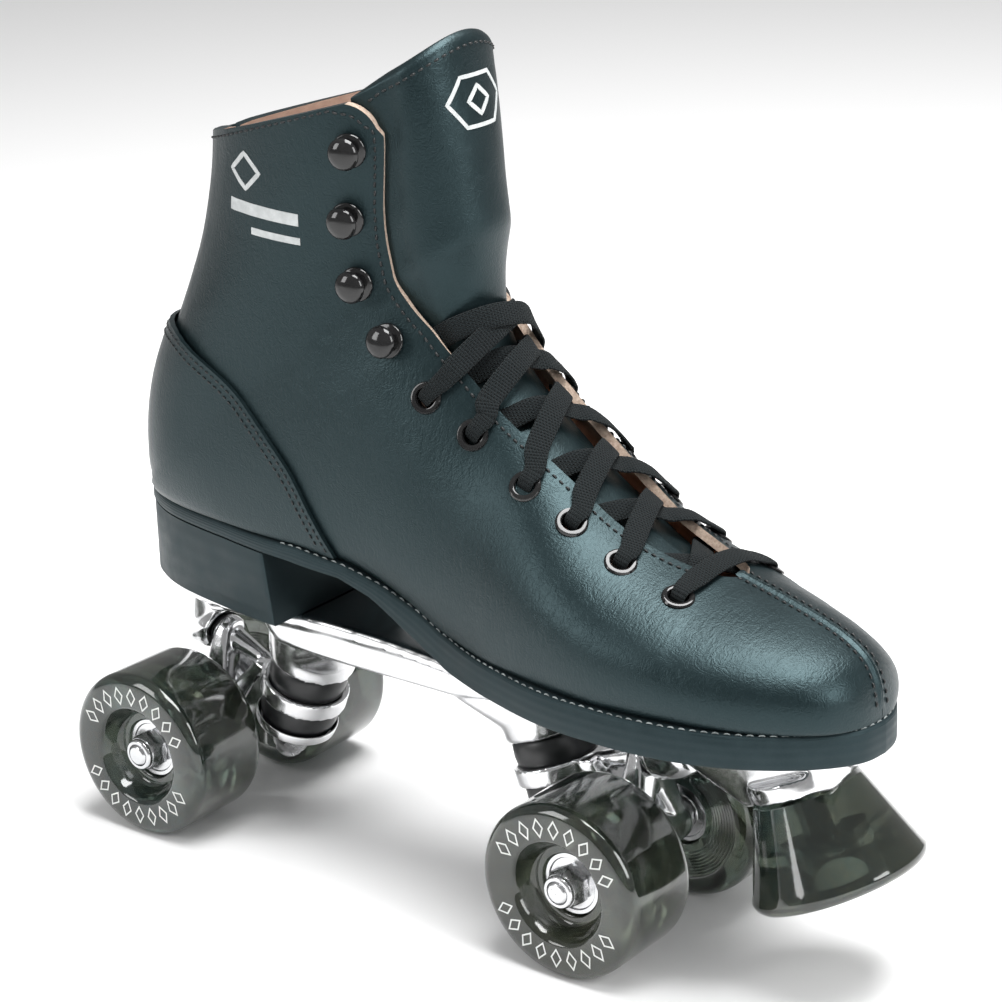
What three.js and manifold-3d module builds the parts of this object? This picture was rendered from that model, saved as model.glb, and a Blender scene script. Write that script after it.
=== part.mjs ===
// Quad roller skate: one lace-up leather boot on a cast plate with two steering trucks,
// four wheels on ball bearings and a front stop. Millimetres, +X towards the toe, +Z up.
import * as THREE from 'three';
import { mergeVertices } from 'three/addons/utils/BufferGeometryUtils.js';
import { ConvexGeometry } from 'three/addons/geometries/ConvexGeometry.js';
import Module from 'manifold-3d';

const wasm = await Module();
wasm.setup();

// ---- driving dimensions ----
const GAP = 0.3; // running clearance between neighbouring pieces
const WHEEL_R = 31; // 62 mm wheels
const WHEEL_W = 35;
const WHEELBASE = 188;
const TRACK = 71.2; // centre to centre of a pair of wheels
const SOLE_LENGTH = 310; // heel to toe along the outsole
const BALL_HALF = 54; // widest half width of the outsole
const SHAFT_HEIGHT = 161.5; // heel seat to the highest point of the boot's top line
const PLATE_RISE = 58.5; // axle centre to the underside of the sole
const PLATE_T = 5; // flange of the cast plate
const LEATHER_T = 3; // outer leather and lining together
const KINGPIN_TILT = 20; // degrees from the vertical, foot leaning towards the axle
const RING_BACK = 36; // axle centre back to the kingpin ring, along X
const RING_UP = 16.6; // axle centre up to the kingpin ring
const RING_R = 16.2;
const RING_T = 6.6;
const CUSHION_R = 14.2;
const KINGPIN_R = 4.7;
const AXLE_R = 3.9;
const BEARING_R = 11; // 608 size: 22 outside, 8 bore, 7 wide
const BEARING_BORE_R = 4.2;
const BEARING_W = 7;
const OUTER_INSET = 9.5; // outer bearing behind the wheel's outer face
const INNER_INSET = 2; // inner bearing behind the wheel's inner face
const NUT_AF = 13;
const STOP_TOP_R = 18.9;
const STOP_BOTTOM_R = 29.9;
const STOP_LENGTH = 33.3;
const STOP_TILT = 25; // degrees, foot leaning forward
const LACE_W = 8;
const LACE_T = 1.2;
const EYELET_R = 3.5;
const CORNER_R = 12; // rounding of each half's top front corner

// ---- derived places ----
const AXLE_X = WHEELBASE / 2;
const AXLE_Z = WHEEL_R;
const SOLE_Z = AXLE_Z + PLATE_RISE; // underside of forefoot and heel
const FACE_Y = TRACK / 2 + WHEEL_W / 2; // outer face of a wheel
const KX = SOLE_LENGTH / 310;
const KY = BALL_HALF / 54;
const KZ = SHAFT_HEIGHT / 161.5;
const rad = (d) => (d * Math.PI) / 180;
const V = (x, y, z) => new THREE.Vector3(x, y, z);

// ---- solids ----
function solidOf(geometry, matrix) {
  const loose = geometry.index ? geometry.toNonIndexed() : geometry;
  const bare = new THREE.BufferGeometry();
  bare.setAttribute('position', loose.getAttribute('position').clone());
  if (matrix) bare.applyMatrix4(matrix);
  const merged = mergeVertices(bare, 1e-3);
  const index = merged.index.array;
  const kept = [];
  for (let i = 0; i < index.length; i += 3) {
    const [a, b, c] = [index[i], index[i + 1], index[i + 2]];
    if (a !== b && b !== c && c !== a) kept.push(a, b, c);
  }
  const make = (tris) =>
    new wasm.Manifold(
      new wasm.Mesh({
        numProp: 3,
        vertProperties: merged.attributes.position.array,
        triVerts: new Uint32Array(tris),
      }),
    );
  const first = make(kept);
  if (first.volume() > 0) return first;
  for (let i = 0; i < kept.length; i += 3) {
    const t = kept[i + 1];
    kept[i + 1] = kept[i + 2];
    kept[i + 2] = t;
  }
  return make(kept);
}
const join = (...s) => s.reduce((a, b) => a.add(b));
const cut = (a, ...s) => s.reduce((r, b) => r.subtract(b), a);

const group = new THREE.Group();
group.name = 'quad_roller_skate';
function piece(name, solid, look) {
  const m = solid.getMesh();
  const at = new Float32Array((m.vertProperties.length / m.numProp) * 3);
  for (let i = 0; i < at.length / 3; i++) {
    for (let k = 0; k < 3; k++) at[i * 3 + k] = m.vertProperties[i * m.numProp + k];
  }
  const g = new THREE.BufferGeometry();
  g.setAttribute('position', new THREE.BufferAttribute(at, 3));
  g.setIndex(new THREE.BufferAttribute(new Uint32Array(m.triVerts), 1));
  g.computeVertexNormals();
  const mesh = new THREE.Mesh(g, new THREE.MeshStandardMaterial(look));
  mesh.name = name;
  group.add(mesh);
  return solid;
}

// A turned body: profile [radius, height] pairs about the given axis, from the given point.
function turned(profile, from, axis, segments = 24) {
  const g = new THREE.LatheGeometry(
    profile.map(([r, h]) => new THREE.Vector2(r, h)),
    segments,
  );
  const turn = new THREE.Quaternion().setFromUnitVectors(V(0, 1, 0), axis.clone().normalize());
  return solidOf(g, new THREE.Matrix4().compose(from, turn, V(1, 1, 1)));
}
const ring = (rIn, rOut, h0, h1) => [[rIn, h0], [rOut, h0], [rOut, h1], [rIn, h1], [rIn, h0]];
const rod = (r, h0, h1, c = 0) =>
  c ? [[0, h0], [r - c, h0], [r, h0 + c], [r, h1 - c], [r - c, h1], [0, h1]] : [[0, h0], [r, h0], [r, h1], [0, h1]];
const hex = (af, height, from, axis) => {
  const g = new THREE.CylinderGeometry(af / Math.sqrt(3), af / Math.sqrt(3), height, 6);
  const turn = new THREE.Quaternion().setFromUnitVectors(V(0, 1, 0), axis.clone().normalize());
  const mid = from.clone().addScaledVector(axis.clone().normalize(), height / 2);
  return solidOf(g, new THREE.Matrix4().compose(mid, turn, V(1, 1, 1)));
};
const block = (x0, x1, y0, y1, z0, z1) =>
  solidOf(
    new THREE.BoxGeometry(x1 - x0, y1 - y0, z1 - z0),
    new THREE.Matrix4().makeTranslation((x0 + x1) / 2, (y0 + y1) / 2, (z0 + z1) / 2),
  );
const hull = (points) => solidOf(new ConvexGeometry(points));

// A flat shape drawn in the side view (x, z) and carried across the skate from y0 to y1.
function sideSlab(points, y0, y1) {
  const s = new THREE.Shape(points.map(([x, z]) => new THREE.Vector2(x, z)));
  const g = new THREE.ExtrudeGeometry(s, { depth: y1 - y0, bevelEnabled: false });
  const m = new THREE.Matrix4().makeRotationX(Math.PI / 2);
  m.premultiply(new THREE.Matrix4().makeTranslation(0, y1, 0));
  return solidOf(g, m);
}
// A flat shape drawn in plan (x, y) and carried up from z0 to z1.
function planSlab(points, z0, z1) {
  const s = new THREE.Shape(points.map(([x, y]) => new THREE.Vector2(x, y)));
  const g = new THREE.ExtrudeGeometry(s, { depth: z1 - z0, bevelEnabled: false });
  return solidOf(g, new THREE.Matrix4().makeTranslation(0, 0, z0));
}

// A closed skin over two matching grids of points, or one grid closed on itself.
function skin(outer, inner) {
  const at = [];
  const quad = (a, b, c, d) => {
    for (const p of [a, b, c, a, c, d]) at.push(p.x, p.y, p.z);
  };
  const R = outer.length;
  const C = outer[0].length;
  for (let i = 0; i + 1 < R; i++) {
    for (let j = 0; j + 1 < C; j++) {
      quad(outer[i][j], outer[i + 1][j], outer[i + 1][j + 1], outer[i][j + 1]);
      quad(inner[i][j], inner[i][j + 1], inner[i + 1][j + 1], inner[i + 1][j]);
    }
  }
  for (let i = 0; i + 1 < R; i++) {
    quad(outer[i][0], inner[i][0], inner[i + 1][0], outer[i + 1][0]);
    quad(outer[i][C - 1], outer[i + 1][C - 1], inner[i + 1][C - 1], inner[i][C - 1]);
  }
  for (let j = 0; j + 1 < C; j++) {
    quad(outer[0][j], outer[0][j + 1], inner[0][j + 1], inner[0][j]);
    quad(outer[R - 1][j], inner[R - 1][j], inner[R - 1][j + 1], outer[R - 1][j + 1]);
  }
  const g = new THREE.BufferGeometry();
  g.setAttribute('position', new THREE.BufferAttribute(new Float32Array(at), 3));
  return solidOf(g);
}

// ---- the last: the form the boot is built round ----
// Height of the feather line (upper meets sole) above the sole's underside, along X.
const FEATHER = [[-125, 32.5], [-60, 32.5], [-25, 31.8], [-6, 28.5], [9, 24.1], [22, 18.8], [34, 13.7], [46, 11.8], [60, 11.5], [200, 11.5]];
// Underside of the outsole: flat under the ball, arched at the waist, on the heel block behind.
const UNDER = [[-125, 27], [-60, 27], [-30, 26.2], [-8, 23.5], [5, 18.5], [17, 10.5], [28, 4.5], [38, 0.6], [46, 0], [200, 0]];
function along(table, x) {
  const u = x / KX;
  for (let i = 0; i + 1 < table.length; i++) {
    const [a, b] = [table[i], table[i + 1]];
    if (u <= b[0]) return a[1] + ((b[1] - a[1]) * (u - a[0])) / (b[0] - a[0]);
  }
  return table[table.length - 1][1];
}
const featherZ = (x) => SOLE_Z + along(FEATHER, x);
const underZ = (x) => SOLE_Z + along(UNDER, x);
// Middle line of the foot: the toe leans towards the -Y side.
const MIDDLE = [[-130, 0], [108, 0], [132, -1.2], [146, -2.4], [160, -4], [172, -5.6], [180, -7], [190, -9]];

// Width of the outer (+Y) side of the foot against the inner side: the little toes fall away.
const FAR_SIDE = [[-130, 1], [40, 1], [75, 0.97], [95, 0.93], [115, 0.88], [135, 0.83], [155, 0.8], [170, 0.83], [180, 0.88], [192, 0.9]];
// Cross-sections of the boot, fanning from upright at the toe to nearly level at the top.
// foot x, foot rise above feather (used behind the heel), front x, front z above sole underside,
// half width at the feather, half width at the widest, share of height where widest, fullness, half throat
const STATIONS = [
  [189.4, 0, 189.4, 11.9, 0.15, 0.15, 0.4, 2, 0.15],
  [188.9, 0, 188.9, 17.5, 6.5, 7, 0.4, 2, 0.15],
  [187.4, 0, 187.4, 23.8, 12, 13, 0.4, 2, 0.15],
  [184.5, 0, 184.5, 28.8, 18, 19.6, 0.4, 2, 0.15],
  [180, 0, 180, 32.3, 24, 26, 0.4, 2, 0.15],
  [172, 0, 172, 35.8, 31, 33.2, 0.4, 2, 0.15],
  [160, 0, 160, 39.1, 38.5, 41, 0.4, 2, 0.15],
  [147, 0, 147, 42, 44, 46.6, 0.4, 2, 0.15],
  [136, 0, 136, 44.4, 47, 49.8, 0.4, 2, 0.15],
  [130, 0, 131, 45.9, 48.4, 51.2, 0.4, 2, 7],
  [120, 0, 122, 48.8, 49.8, 52.6, 0.38, 2, 11.5],
  [107, 0, 110, 53.2, 50.8, 53.2, 0.36, 2, 14.5],
  [92, 0, 97, 60.2, 49.5, 51.8, 0.34, 2, 16.5],
  [76, 0, 85, 69, 46.5, 49, 0.32, 2, 17.2],
  [60, 0, 75, 77.2, 42.5, 45.4, 0.3, 2, 17.8],
  [45, 0, 66, 84.8, 36.8, 41.6, 0.3, 2, 18],
  [28, 0, 58, 91.8, 32.6, 38.6, 0.3, 2, 18.2],
  [10, 0, 51.5, 98, 31.2, 37.2, 0.3, 2.05, 18.6],
  [-8, 0, 46.5, 104.5, 32, 36.8, 0.3, 2.1, 19.2],
  [-28, 0, 42.5, 111, 34, 36.8, 0.28, 2.15, 20],
  [-48, 0, 39.5, 117, 33.6, 36.8, 0.27, 2.2, 20.8],
  [-68, 0, 37.3, 123, 31, 36.6, 0.26, 2.25, 21.4],
  [-84, 0, 35.7, 128.5, 27.4, 36.2, 0.25, 2.25, 21.9],
  [-97, 0, 34.4, 134, 21.6, 35.8, 0.25, 2.25, 22.3],
  [-106.5, 0, 33.4, 139.5, 13.4, 35.4, 0.25, 2.25, 22.6],
  [-111.2, 1.2, 32.6, 144.5, 0.15, 35.2, 0.24, 2.25, 22.8],
  [-112.3, 13, 31.9, 150, 0.15, 35, 0.25, 2.25, 23],
  [-111.6, 26, 31.1, 155.5, 0.15, 34.8, 0.27, 2.25, 23.3],
  [-109, 39, 30.4, 161, 0.15, 34.6, 0.3, 2.25, 23.6],
  [-104.6, 51.5, 29.7, 166.5, 0.15, 34.4, 0.34, 2.25, 23.9],
  [-98.6, 64.5, 28.9, 172, 0.15, 34.2, 0.38, 2.25, 24.1],
  [-92.6, 78, 28.1, 177, 0.15, 34.2, 0.41, 2.25, 24.3],
  [-86.8, 92, 27.3, 182, 0.15, 34.4, 0.43, 2.25, 24.5],
  [-82.4, 106.5, 26.4, 186.5, 0.15, 34.6, 0.44, 2.25, 24.7],
  [-79.4, 120, 25.7, 190.5, 0.15, 34.8, 0.45, 2.25, 24.9],
  [-77.6, 133, 25, 194, 0.15, 35, 0.45, 2.25, 25],
];
const LAST = STATIONS.length - 1;
// A station between stations, on a smooth curve through their numbers.
function station(s, side = -1) {
  const t = Math.min(Math.max(s, 0), LAST);
  const i = Math.min(Math.floor(t), LAST - 1);
  const f = t - i;
  const row = (k) => STATIONS[Math.min(Math.max(k, 0), LAST)];
  const [p, q, r, u] = [row(i - 1), row(i), row(i + 1), row(i + 2)];
  const n = q.map(
    (_, k) =>
      0.5 * (2 * q[k] + (r[k] - p[k]) * f + (2 * p[k] - 5 * q[k] + 4 * r[k] - u[k]) * f * f + (3 * q[k] - p[k] - 3 * r[k] + u[k]) * f * f * f),
  );
  const bx = n[0] * KX;
  const seat = 32.5;
  const k = side > 0 ? along(FAR_SIDE, bx) : 1;
  const slope = side > 0 ? Math.min(Math.max((n[0] - 25) / 70, 0), 1) : 0;
  return {
    bx,
    bz: featherZ(bx) + GAP + n[1] * KZ,
    tx: n[2] * KX,
    tz: SOLE_Z + (n[3] > seat ? seat + (n[3] - seat) * KZ : n[3]),
    wb: Math.max(n[4] * KY * k, 0.15),
    w: Math.max(n[5] * KY * k, 0.15),
    hm: n[6] - slope * 0.16,
    p: n[7] - slope * 0.6,
    gap: Math.max(n[8], 0.15),
    yc: along(MIDDLE, bx) * KY,
  };
}
function place(st, h, w, side) {
  return V(st.bx + (st.tx - st.bx) * h, st.yc + side * w, st.bz + (st.tz - st.bz) * h);
}
// Point of the form at station s; b runs 0..1 from the feather to the widest, a 1..2 on to half width "edge".
function formPoint(s, b, side, edge) {
  const st = station(s, side);
  if (b <= 1) {
    const q = (b * Math.PI) / 2;
    return place(st, st.hm * (1 - Math.cos(q)), st.wb + (st.w - st.wb) * Math.sin(q), side);
  }
  const least = Math.min((edge ?? st.gap) / st.w, 1);
  const last = Math.acos(Math.pow(least, st.p / 2));
  const a = (b - 1) * last;
  return place(st, st.hm + (1 - st.hm) * Math.pow(Math.sin(a), 2 / st.p), st.w * Math.pow(Math.cos(a), 2 / st.p), side);
}
// Point of the front of the form at station s and half width w, moved along the outward normal.
function frontPoint(s, w, side, out = 0) {
  const at = (ss, ww) => {
    const st = station(ss, side);
    const u = Math.min(Math.abs(ww) / st.w, 1);
    const h = st.hm + (1 - st.hm) * Math.pow(1 - Math.pow(u, st.p), 1 / st.p);
    const q = place(st, h, 0, 1);
    q.y += side * ww;
    return q;
  };
  const P = at(s, w);
  const ds = at(s + 0.05, w).sub(at(s - 0.05, w));
  const dw = at(s, w + 0.4).sub(at(s, w - 0.4));
  const N = ds.cross(dw).normalize();
  if (N.x * 0.6 + N.z * 0.8 < 0) N.negate();
  return out === null ? N : P.addScaledVector(N, out);
}
// Station at which the front of the form, at half width w, reaches the given value of x or z.
function stationWhere(axis, value, w, lo, hi, side) {
  let [a, b] = [lo, hi];
  const rises = frontPoint(hi, w, side)[axis] > frontPoint(lo, w, side)[axis];
  for (let i = 0; i < 40; i++) {
    const m = (a + b) / 2;
    if (frontPoint(m, w, side)[axis] > value === rises) b = m;
    else a = m;
  }
  return (a + b) / 2;
}

const COLS_LOW = 3;
const COLS_HIGH = 7;
const STEPS = [];
for (let j = 0; j <= COLS_LOW; j++) STEPS.push(j / COLS_LOW);
for (let j = 1; j <= COLS_HIGH; j++) STEPS.push(1 + j / COLS_HIGH);
// Rows of the form on one side, moved outwards by "out".
function formRows(side, out, edge) {
  const rows = [];
  for (let i = 0; i <= LAST; i++) {
    const row = STEPS.map((b) => formPoint(i, b, side, edge));
    rows.push(row);
  }
  if (!out) return rows;
  const C = STEPS.length;
  return rows.map((row, i) =>
    row.map((p, j) => {
      const a = rows[Math.max(i - 1, 0)][j];
      const b = rows[Math.min(i + 1, LAST)][j];
      const c = row[Math.max(j - 1, 0)];
      const d = row[Math.min(j + 1, C - 1)];
      let n = V(1, 0, 0);
      if (i > 0) n = b.clone().sub(a).cross(d.clone().sub(c)).multiplyScalar(side).normalize();
      if (j === 0 && i > 0 && i < 25) n.z = Math.max(n.z, 0);
      const q = p.clone().addScaledVector(n, out);
      const yc = station(i).yc;
      if (side * (q.y - yc) < 0.15) q.y = yc + side * 0.15;
      if (j === 0 && i < 25) q.z = p.z;
      if (out < 0) q.z = Math.max(q.z, featherZ(q.x) + GAP);
      return q;
    }),
  );
}
// The whole form as one body, grown outwards by "out".
function formSolid(out) {
  const right = formRows(-1, out, 0.15);
  const left = formRows(1, out, 0.15);
  const C = STEPS.length;
  const loops = right.map((row, i) => [...row, ...left[i].slice().reverse()]);
  const at = [];
  const tri = (...p) => p.forEach((q) => at.push(q.x, q.y, q.z));
  const L = 2 * C;
  for (let i = 0; i + 1 < loops.length; i++) {
    for (let j = 0; j < L; j++) {
      const k = (j + 1) % L;
      if (j < C) {
        tri(loops[i][j], loops[i + 1][j], loops[i + 1][k]);
        tri(loops[i][j], loops[i + 1][k], loops[i][k]);
      } else {
        tri(loops[i][j], loops[i + 1][j], loops[i][k]);
        tri(loops[i + 1][j], loops[i + 1][k], loops[i][k]);
      }
    }
  }
  for (const [i, flip] of [[0, true], [loops.length - 1, false]]) {
    const mid = loops[i].reduce((a, p) => a.add(p), V(0, 0, 0)).multiplyScalar(1 / L);
    for (let j = 0; j < L; j++) {
      const k = (j + 1) % L;
      if (flip) tri(mid, loops[i][j], loops[i][k]);
      else tri(mid, loops[i][k], loops[i][j]);
    }
  }
  const g = new THREE.BufferGeometry();
  g.setAttribute('position', new THREE.BufferAttribute(new Float32Array(at), 3));
  return solidOf(g);
}

const LEATHER = { color: 0x14191b, roughness: 0.45 };
const LINING = { color: 0xb98f78, roughness: 0.9 };
const RUBBER = { color: 0x22282a, roughness: 0.8 };
const CHROME = { color: 0xd8dadb, roughness: 0.15, metalness: 1 };
const STEEL = { color: 0x9a9c9e, roughness: 0.3, metalness: 1 };
const ENAMEL = { color: 0x101010, roughness: 0.2 };
const URETHANE = { color: 0x2b3331, roughness: 0.2, transparent: true, opacity: 0.85 };

// ---- boot upper: two halves stitched down the heel and over the toe ----
const EYELET_X = [27.5, 45, 67.2, 85.6, 104.4, 126]; // along the foot, highest pair first
const EYELET_W = [28, 26.2, 28, 28, 27.8, 26.6].map((w) => w * KY); // half spacing of each pair
const HOOK_UP = [76.5, 94, 116, 139.5]; // above the heel seat, lowest pair first
const HOOK_W = [26.8, 26.9, 28.2, 29.4].map((w) => w * KY);
const eyeletAt = (i, side) => stationWhere('x', EYELET_X[i] * KX, EYELET_W[i], 8, 24, side);
const hookAt = (i, side) => stationWhere('z', SOLE_Z + 32.5 + HOOK_UP[i] * KZ, HOOK_W[i], 14, LAST, side);
const holes = { '-1': [], 1: [] };
for (const side of [-1, 1]) {
  EYELET_W.forEach((w, i) => {
    const s = eyeletAt(i, side);
    const n = frontPoint(s, w, side, null);
    holes[side].push(turned(rod(EYELET_R, -9, 6), frontPoint(s, EYELET_W[i], side, 0), n, 12));
  });
}
// What is trimmed off the top front corner of a half: a square past the rounding's centre, less the round.
function cornerTrim(side) {
  const gap = station(LAST).gap;
  const reach = (from, to) => from.clone().sub(to).length();
  let [s, w] = [LAST, gap];
  while (reach(frontPoint(LAST, w, side), frontPoint(LAST, gap, side)) < CORNER_R) w += 0.05;
  while (reach(frontPoint(s, w, side), frontPoint(LAST, w, side)) < CORNER_R) s -= 0.01;
  const C = frontPoint(s, w, side);
  const n = frontPoint(s, w, side, null);
  const U = frontPoint(s, station(s).gap, side).sub(C);
  const edge = U.length();
  U.addScaledVector(n, -U.dot(n)).normalize();
  const T = U.clone().cross(n);
  if (T.z < 0) T.negate();
  const far = 2 * CORNER_R;
  const corners = [];
  for (const u of [0.1, far]) {
    for (const t of [0.1, far]) {
      for (const d of [-14, 14]) corners.push(C.clone().addScaledVector(U, u).addScaledVector(T, t).addScaledVector(n, d));
    }
  }
  // Below the round, a slight taper runs it into the facing's edge, which stands a little further out.
  const taper = [];
  for (const [u, t] of [[CORNER_R, 0.2], [edge + 0.6, -0.75 * CORNER_R], [far, -0.75 * CORNER_R], [far, 0.2]]) {
    for (const d of [-14, 14]) taper.push(C.clone().addScaledVector(U, u).addScaledVector(T, t).addScaledVector(n, d));
  }
  return hull(corners).subtract(turned(rod(CORNER_R, -15, 15), C, n, 24)).add(hull(taper));
}
for (const [name, side] of [['upper_right', -1], ['upper_left', 1]]) {
  const shell = skin(formRows(side, 0), formRows(side, -LEATHER_T));
  piece(name, cut(shell, ...holes[side], cornerTrim(side)), LEATHER);
}

// ---- heel counter and back stay: leather laid over the back of the upper ----
const overlaid = (spare) => formSolid(GAP + 1.3 + spare).subtract(formSolid(GAP + 0.05 - spare));
const grown = overlaid(0);
const heelTop = featherZ(-100 * KX);
const counterEdge = [[-118, 60], [-104, 64], [-90, 67], [-78, 65.8], [-66, 59.6], [-53, 52], [-40, 40.8], [-26, 27], [-18, 14.3], [-11, 2], [-9.6, -3]];
const counterRegion = sideSlab(
  [
    ...counterEdge.map(([x, z]) => [x * KX, Math.max(heelTop + z * KZ, featherZ(x * KX) + GAP + 0.2)]),
    [-25 * KX, featherZ(-25 * KX) + GAP + 0.2],
    [-60 * KX, featherZ(-60 * KX) + GAP + 0.2],
    [-122 * KX, heelTop + GAP + 0.2],
    [-122 * KX, heelTop + 59 * KZ],
  ],
  -60 * KY,
  60 * KY,
);
piece('heel_counter', grown.intersect(counterRegion), LEATHER);
const stayRegion = sideSlab(
  [
    [-122 * KX, heelTop + 61 * KZ],
    [-104 * KX, heelTop + 65.5 * KZ],
    [-88 * KX, heelTop + 69 * KZ],
    [-58 * KX, heelTop + 137 * KZ],
    [-90 * KX, heelTop + 129.6 * KZ],
    [-122 * KX, heelTop + 129 * KZ],
  ],
  -7.5,
  7.5,
);
piece('back_stay', grown.intersect(stayRegion), LEATHER);

// ---- tongue: padded tongue under the lacing, standing up past the top line ----
const TONGUE_HALF = 30;
const LACED = 19; // up to this station the tongue lies under the lacing
const lip = (s) => station(s).gap + 2 - 0.8 * LEATHER_T; // clear of the facing's inner edge, which leans in by its thickness
function tongueOut(s, w, side, deep) {
  const rise = Math.min(Math.max((s - LACED) / 6, 0), 1);
  const f = Math.min(w / lip(s), 1);
  const free = 5 - (LEATHER_T + 5.9) * Math.pow(f, 7);
  return -(LEATHER_T + 3.8) * (1 - rise) + free * rise - deep;
}
const tongueRows = [];
for (let s = 10.3; s <= LAST; s += 1.65) tongueRows.push([s, 0]);
tongueRows.push([LAST, 0], [LAST, 0.45], [LAST, 0.85], [LAST, 1]);
function tongueGrid(thick) {
  return tongueRows.map(([s, k]) => {
    const row = [];
    const half = Math.min(TONGUE_HALF, 12 + (s - 10.3) * 5);
    const inner = Math.min(lip(s), half - 3);
    for (const share of [-1, -0.98, -0.87, -0.68, -0.36, 0, 0.36, 0.68, 0.87, 0.98, 1]) {
      const w = Math.abs(share) === 1 ? share * half : share * inner;
      const pad = 3 + 3 * Math.min(Math.max((s - 20) / 8, 0), 1) * Math.cos((w / half) * 1.35);
      const deep = thick ? pad * (k === 1 ? 0.55 : 1) : k === 1 ? 0.45 * pad : 0;
      const side = w < 0 ? -1 : 1;
      const p = frontPoint(s, Math.abs(w), side, tongueOut(s, Math.abs(w), side, deep));
      p.addScaledVector(V(-0.12, 0, 1), 14 * KZ * k * (1 - Math.pow(w / 31, 2)));
      row.push(p);
    }
    return row;
  });
}
piece('tongue', skin(tongueGrid(false), tongueGrid(true)), LEATHER);

// ---- insole, outsole and heel block ----
const HALF_SOLE = [
  [-117.5, 0.2], [-116.4, 8], [-113, 14.5], [-108, 19.5], [-99, 25], [-90, 28.6], [-79, 31.4], [-65, 34],
  [-50, 36.4], [-36, 37.8], [-22, 37.6], [-8, 35.8], [8, 34], [22, 33.6], [34, 35.2], [45, 38.8], [57, 43.6],
  [71, 48.2], [85, 52], [98, 53.8], [112, 54], [126, 52.8], [140, 49.6], [152, 44.8], [163, 38.6], [173, 31],
  [180.5, 23.4], [186, 16], [189.6, 8.6], [190.8, 0.2],
];
const SOLE_LINE = HALF_SOLE.map(([x, w]) => [x * KX, Math.max(w * KY, 0.2)]);
const FEATHER_LINE = STATIONS.slice(0, 26)
  .map((_, i) => [station(i).bx, station(i).wb])
  .reverse();
const insetSole = (d, pts = SOLE_LINE) => {
  const inner = pts.map(([x, w], i) => {
    const a = pts[Math.max(i - 1, 0)];
    const b = pts[Math.min(i + 1, pts.length - 1)];
    let [tx, tw] = [b[0] - a[0], b[1] - a[1]];
    if (i === 0) [tx, tw] = [0, 1];
    if (i === pts.length - 1) [tx, tw] = [0, -1];
    const l = Math.hypot(tx, tw);
    return [x + (tw / l) * d, Math.max(w - (tx / l) * d, 0.2)];
  });
  const mid = (x) => along(MIDDLE, x) * KY;
  return [...inner.map(([x, w]) => [x, mid(x) - w]), ...inner.slice().reverse().map(([x, w]) => [x, mid(x) + w * along(FAR_SIDE, x)])];
};
const footXs = [-125 * KX, ...FEATHER_LINE.slice(1, 14).map(([x]) => x), 200 * KX];
const underXs = [-125, -60, -30, -20, -8, -2, 5, 11, 17, 22, 28, 33, 38, 46, 200].map((x) => x * KX);
const band = (low, lowXs, high, highXs) =>
  sideSlab([...lowXs.map((x) => [x, low(x)]), ...highXs.slice().reverse().map((x) => [x, high(x)])], -80 * KY, 80 * KY);

const screws = [];
for (const [name, x] of [['rear', -78], ['front', 74]]) {
  for (const [hand, y] of [['right', -20.5], ['left', 20.5]]) {
    const px = (x / 94) * AXLE_X;
    screws.push({ name: 'mount_screw_' + name + '_' + hand, x: px, y, top: featherZ(px) - 3 });
  }
}
const screwHoles = screws.map((s) => turned(rod(2.6, SOLE_Z - 30, s.top + 1), V(s.x, s.y, 0), V(0, 0, 1), 8));

piece(
  'insole',
  planSlab(insetSole(LEATHER_T + 1, FEATHER_LINE), SOLE_Z, SOLE_Z + 60)
    .intersect(band((x) => featherZ(x) + GAP, footXs, (x) => featherZ(x) + GAP + 3.5, footXs))
    .subtract(overlaid(GAP).intersect(counterRegion)),
  LINING,
);
piece(
  'outsole',
  cut(planSlab(insetSole(0), SOLE_Z - 5, SOLE_Z + 60).intersect(band(underZ, underXs, featherZ, footXs)), ...screwHoles),
  RUBBER,
);
const heelBack = -118.5 * KX;
const heelFront = -37 * KX;
const heelSide = [[heelBack, SOLE_Z], [heelFront, SOLE_Z]];
for (const x of [-33, -38, -60, -125]) heelSide.push([x * KX, underZ(x * KX) - GAP]);
heelSide[5][0] = heelBack;
heelSide.splice(3, 1);
piece(
  'heel_block',
  cut(planSlab(insetSole(0.4), SOLE_Z - 5, SOLE_Z + 60).intersect(sideSlab(heelSide, -60 * KY, 60 * KY)), ...screwHoles),
  RUBBER,
);

// ---- plate: polished casting with pads, bridge ribs, kingpin bosses, pivot housings and nose ----
const tilt = rad(KINGPIN_TILT);
const DOWN = V(Math.sin(tilt), 0, -Math.cos(tilt)); // front kingpin, towards its nut
const STEER = V(Math.cos(tilt), 0, Math.sin(tilt)); // front steering axis, up towards the pivot
const RING = V(AXLE_X - RING_BACK, 0, AXLE_Z + RING_UP);
const BOSS_AT = -12.8; // boss face, measured down the kingpin from the ring centre
const PIVOT_END = 53;
const rearward = new THREE.Matrix4().makeRotationZ(Math.PI);
const both = (f) => [f(false), f(true)];
const spun = (p, rear) => (rear ? p.clone().applyMatrix4(rearward) : p.clone());

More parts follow.
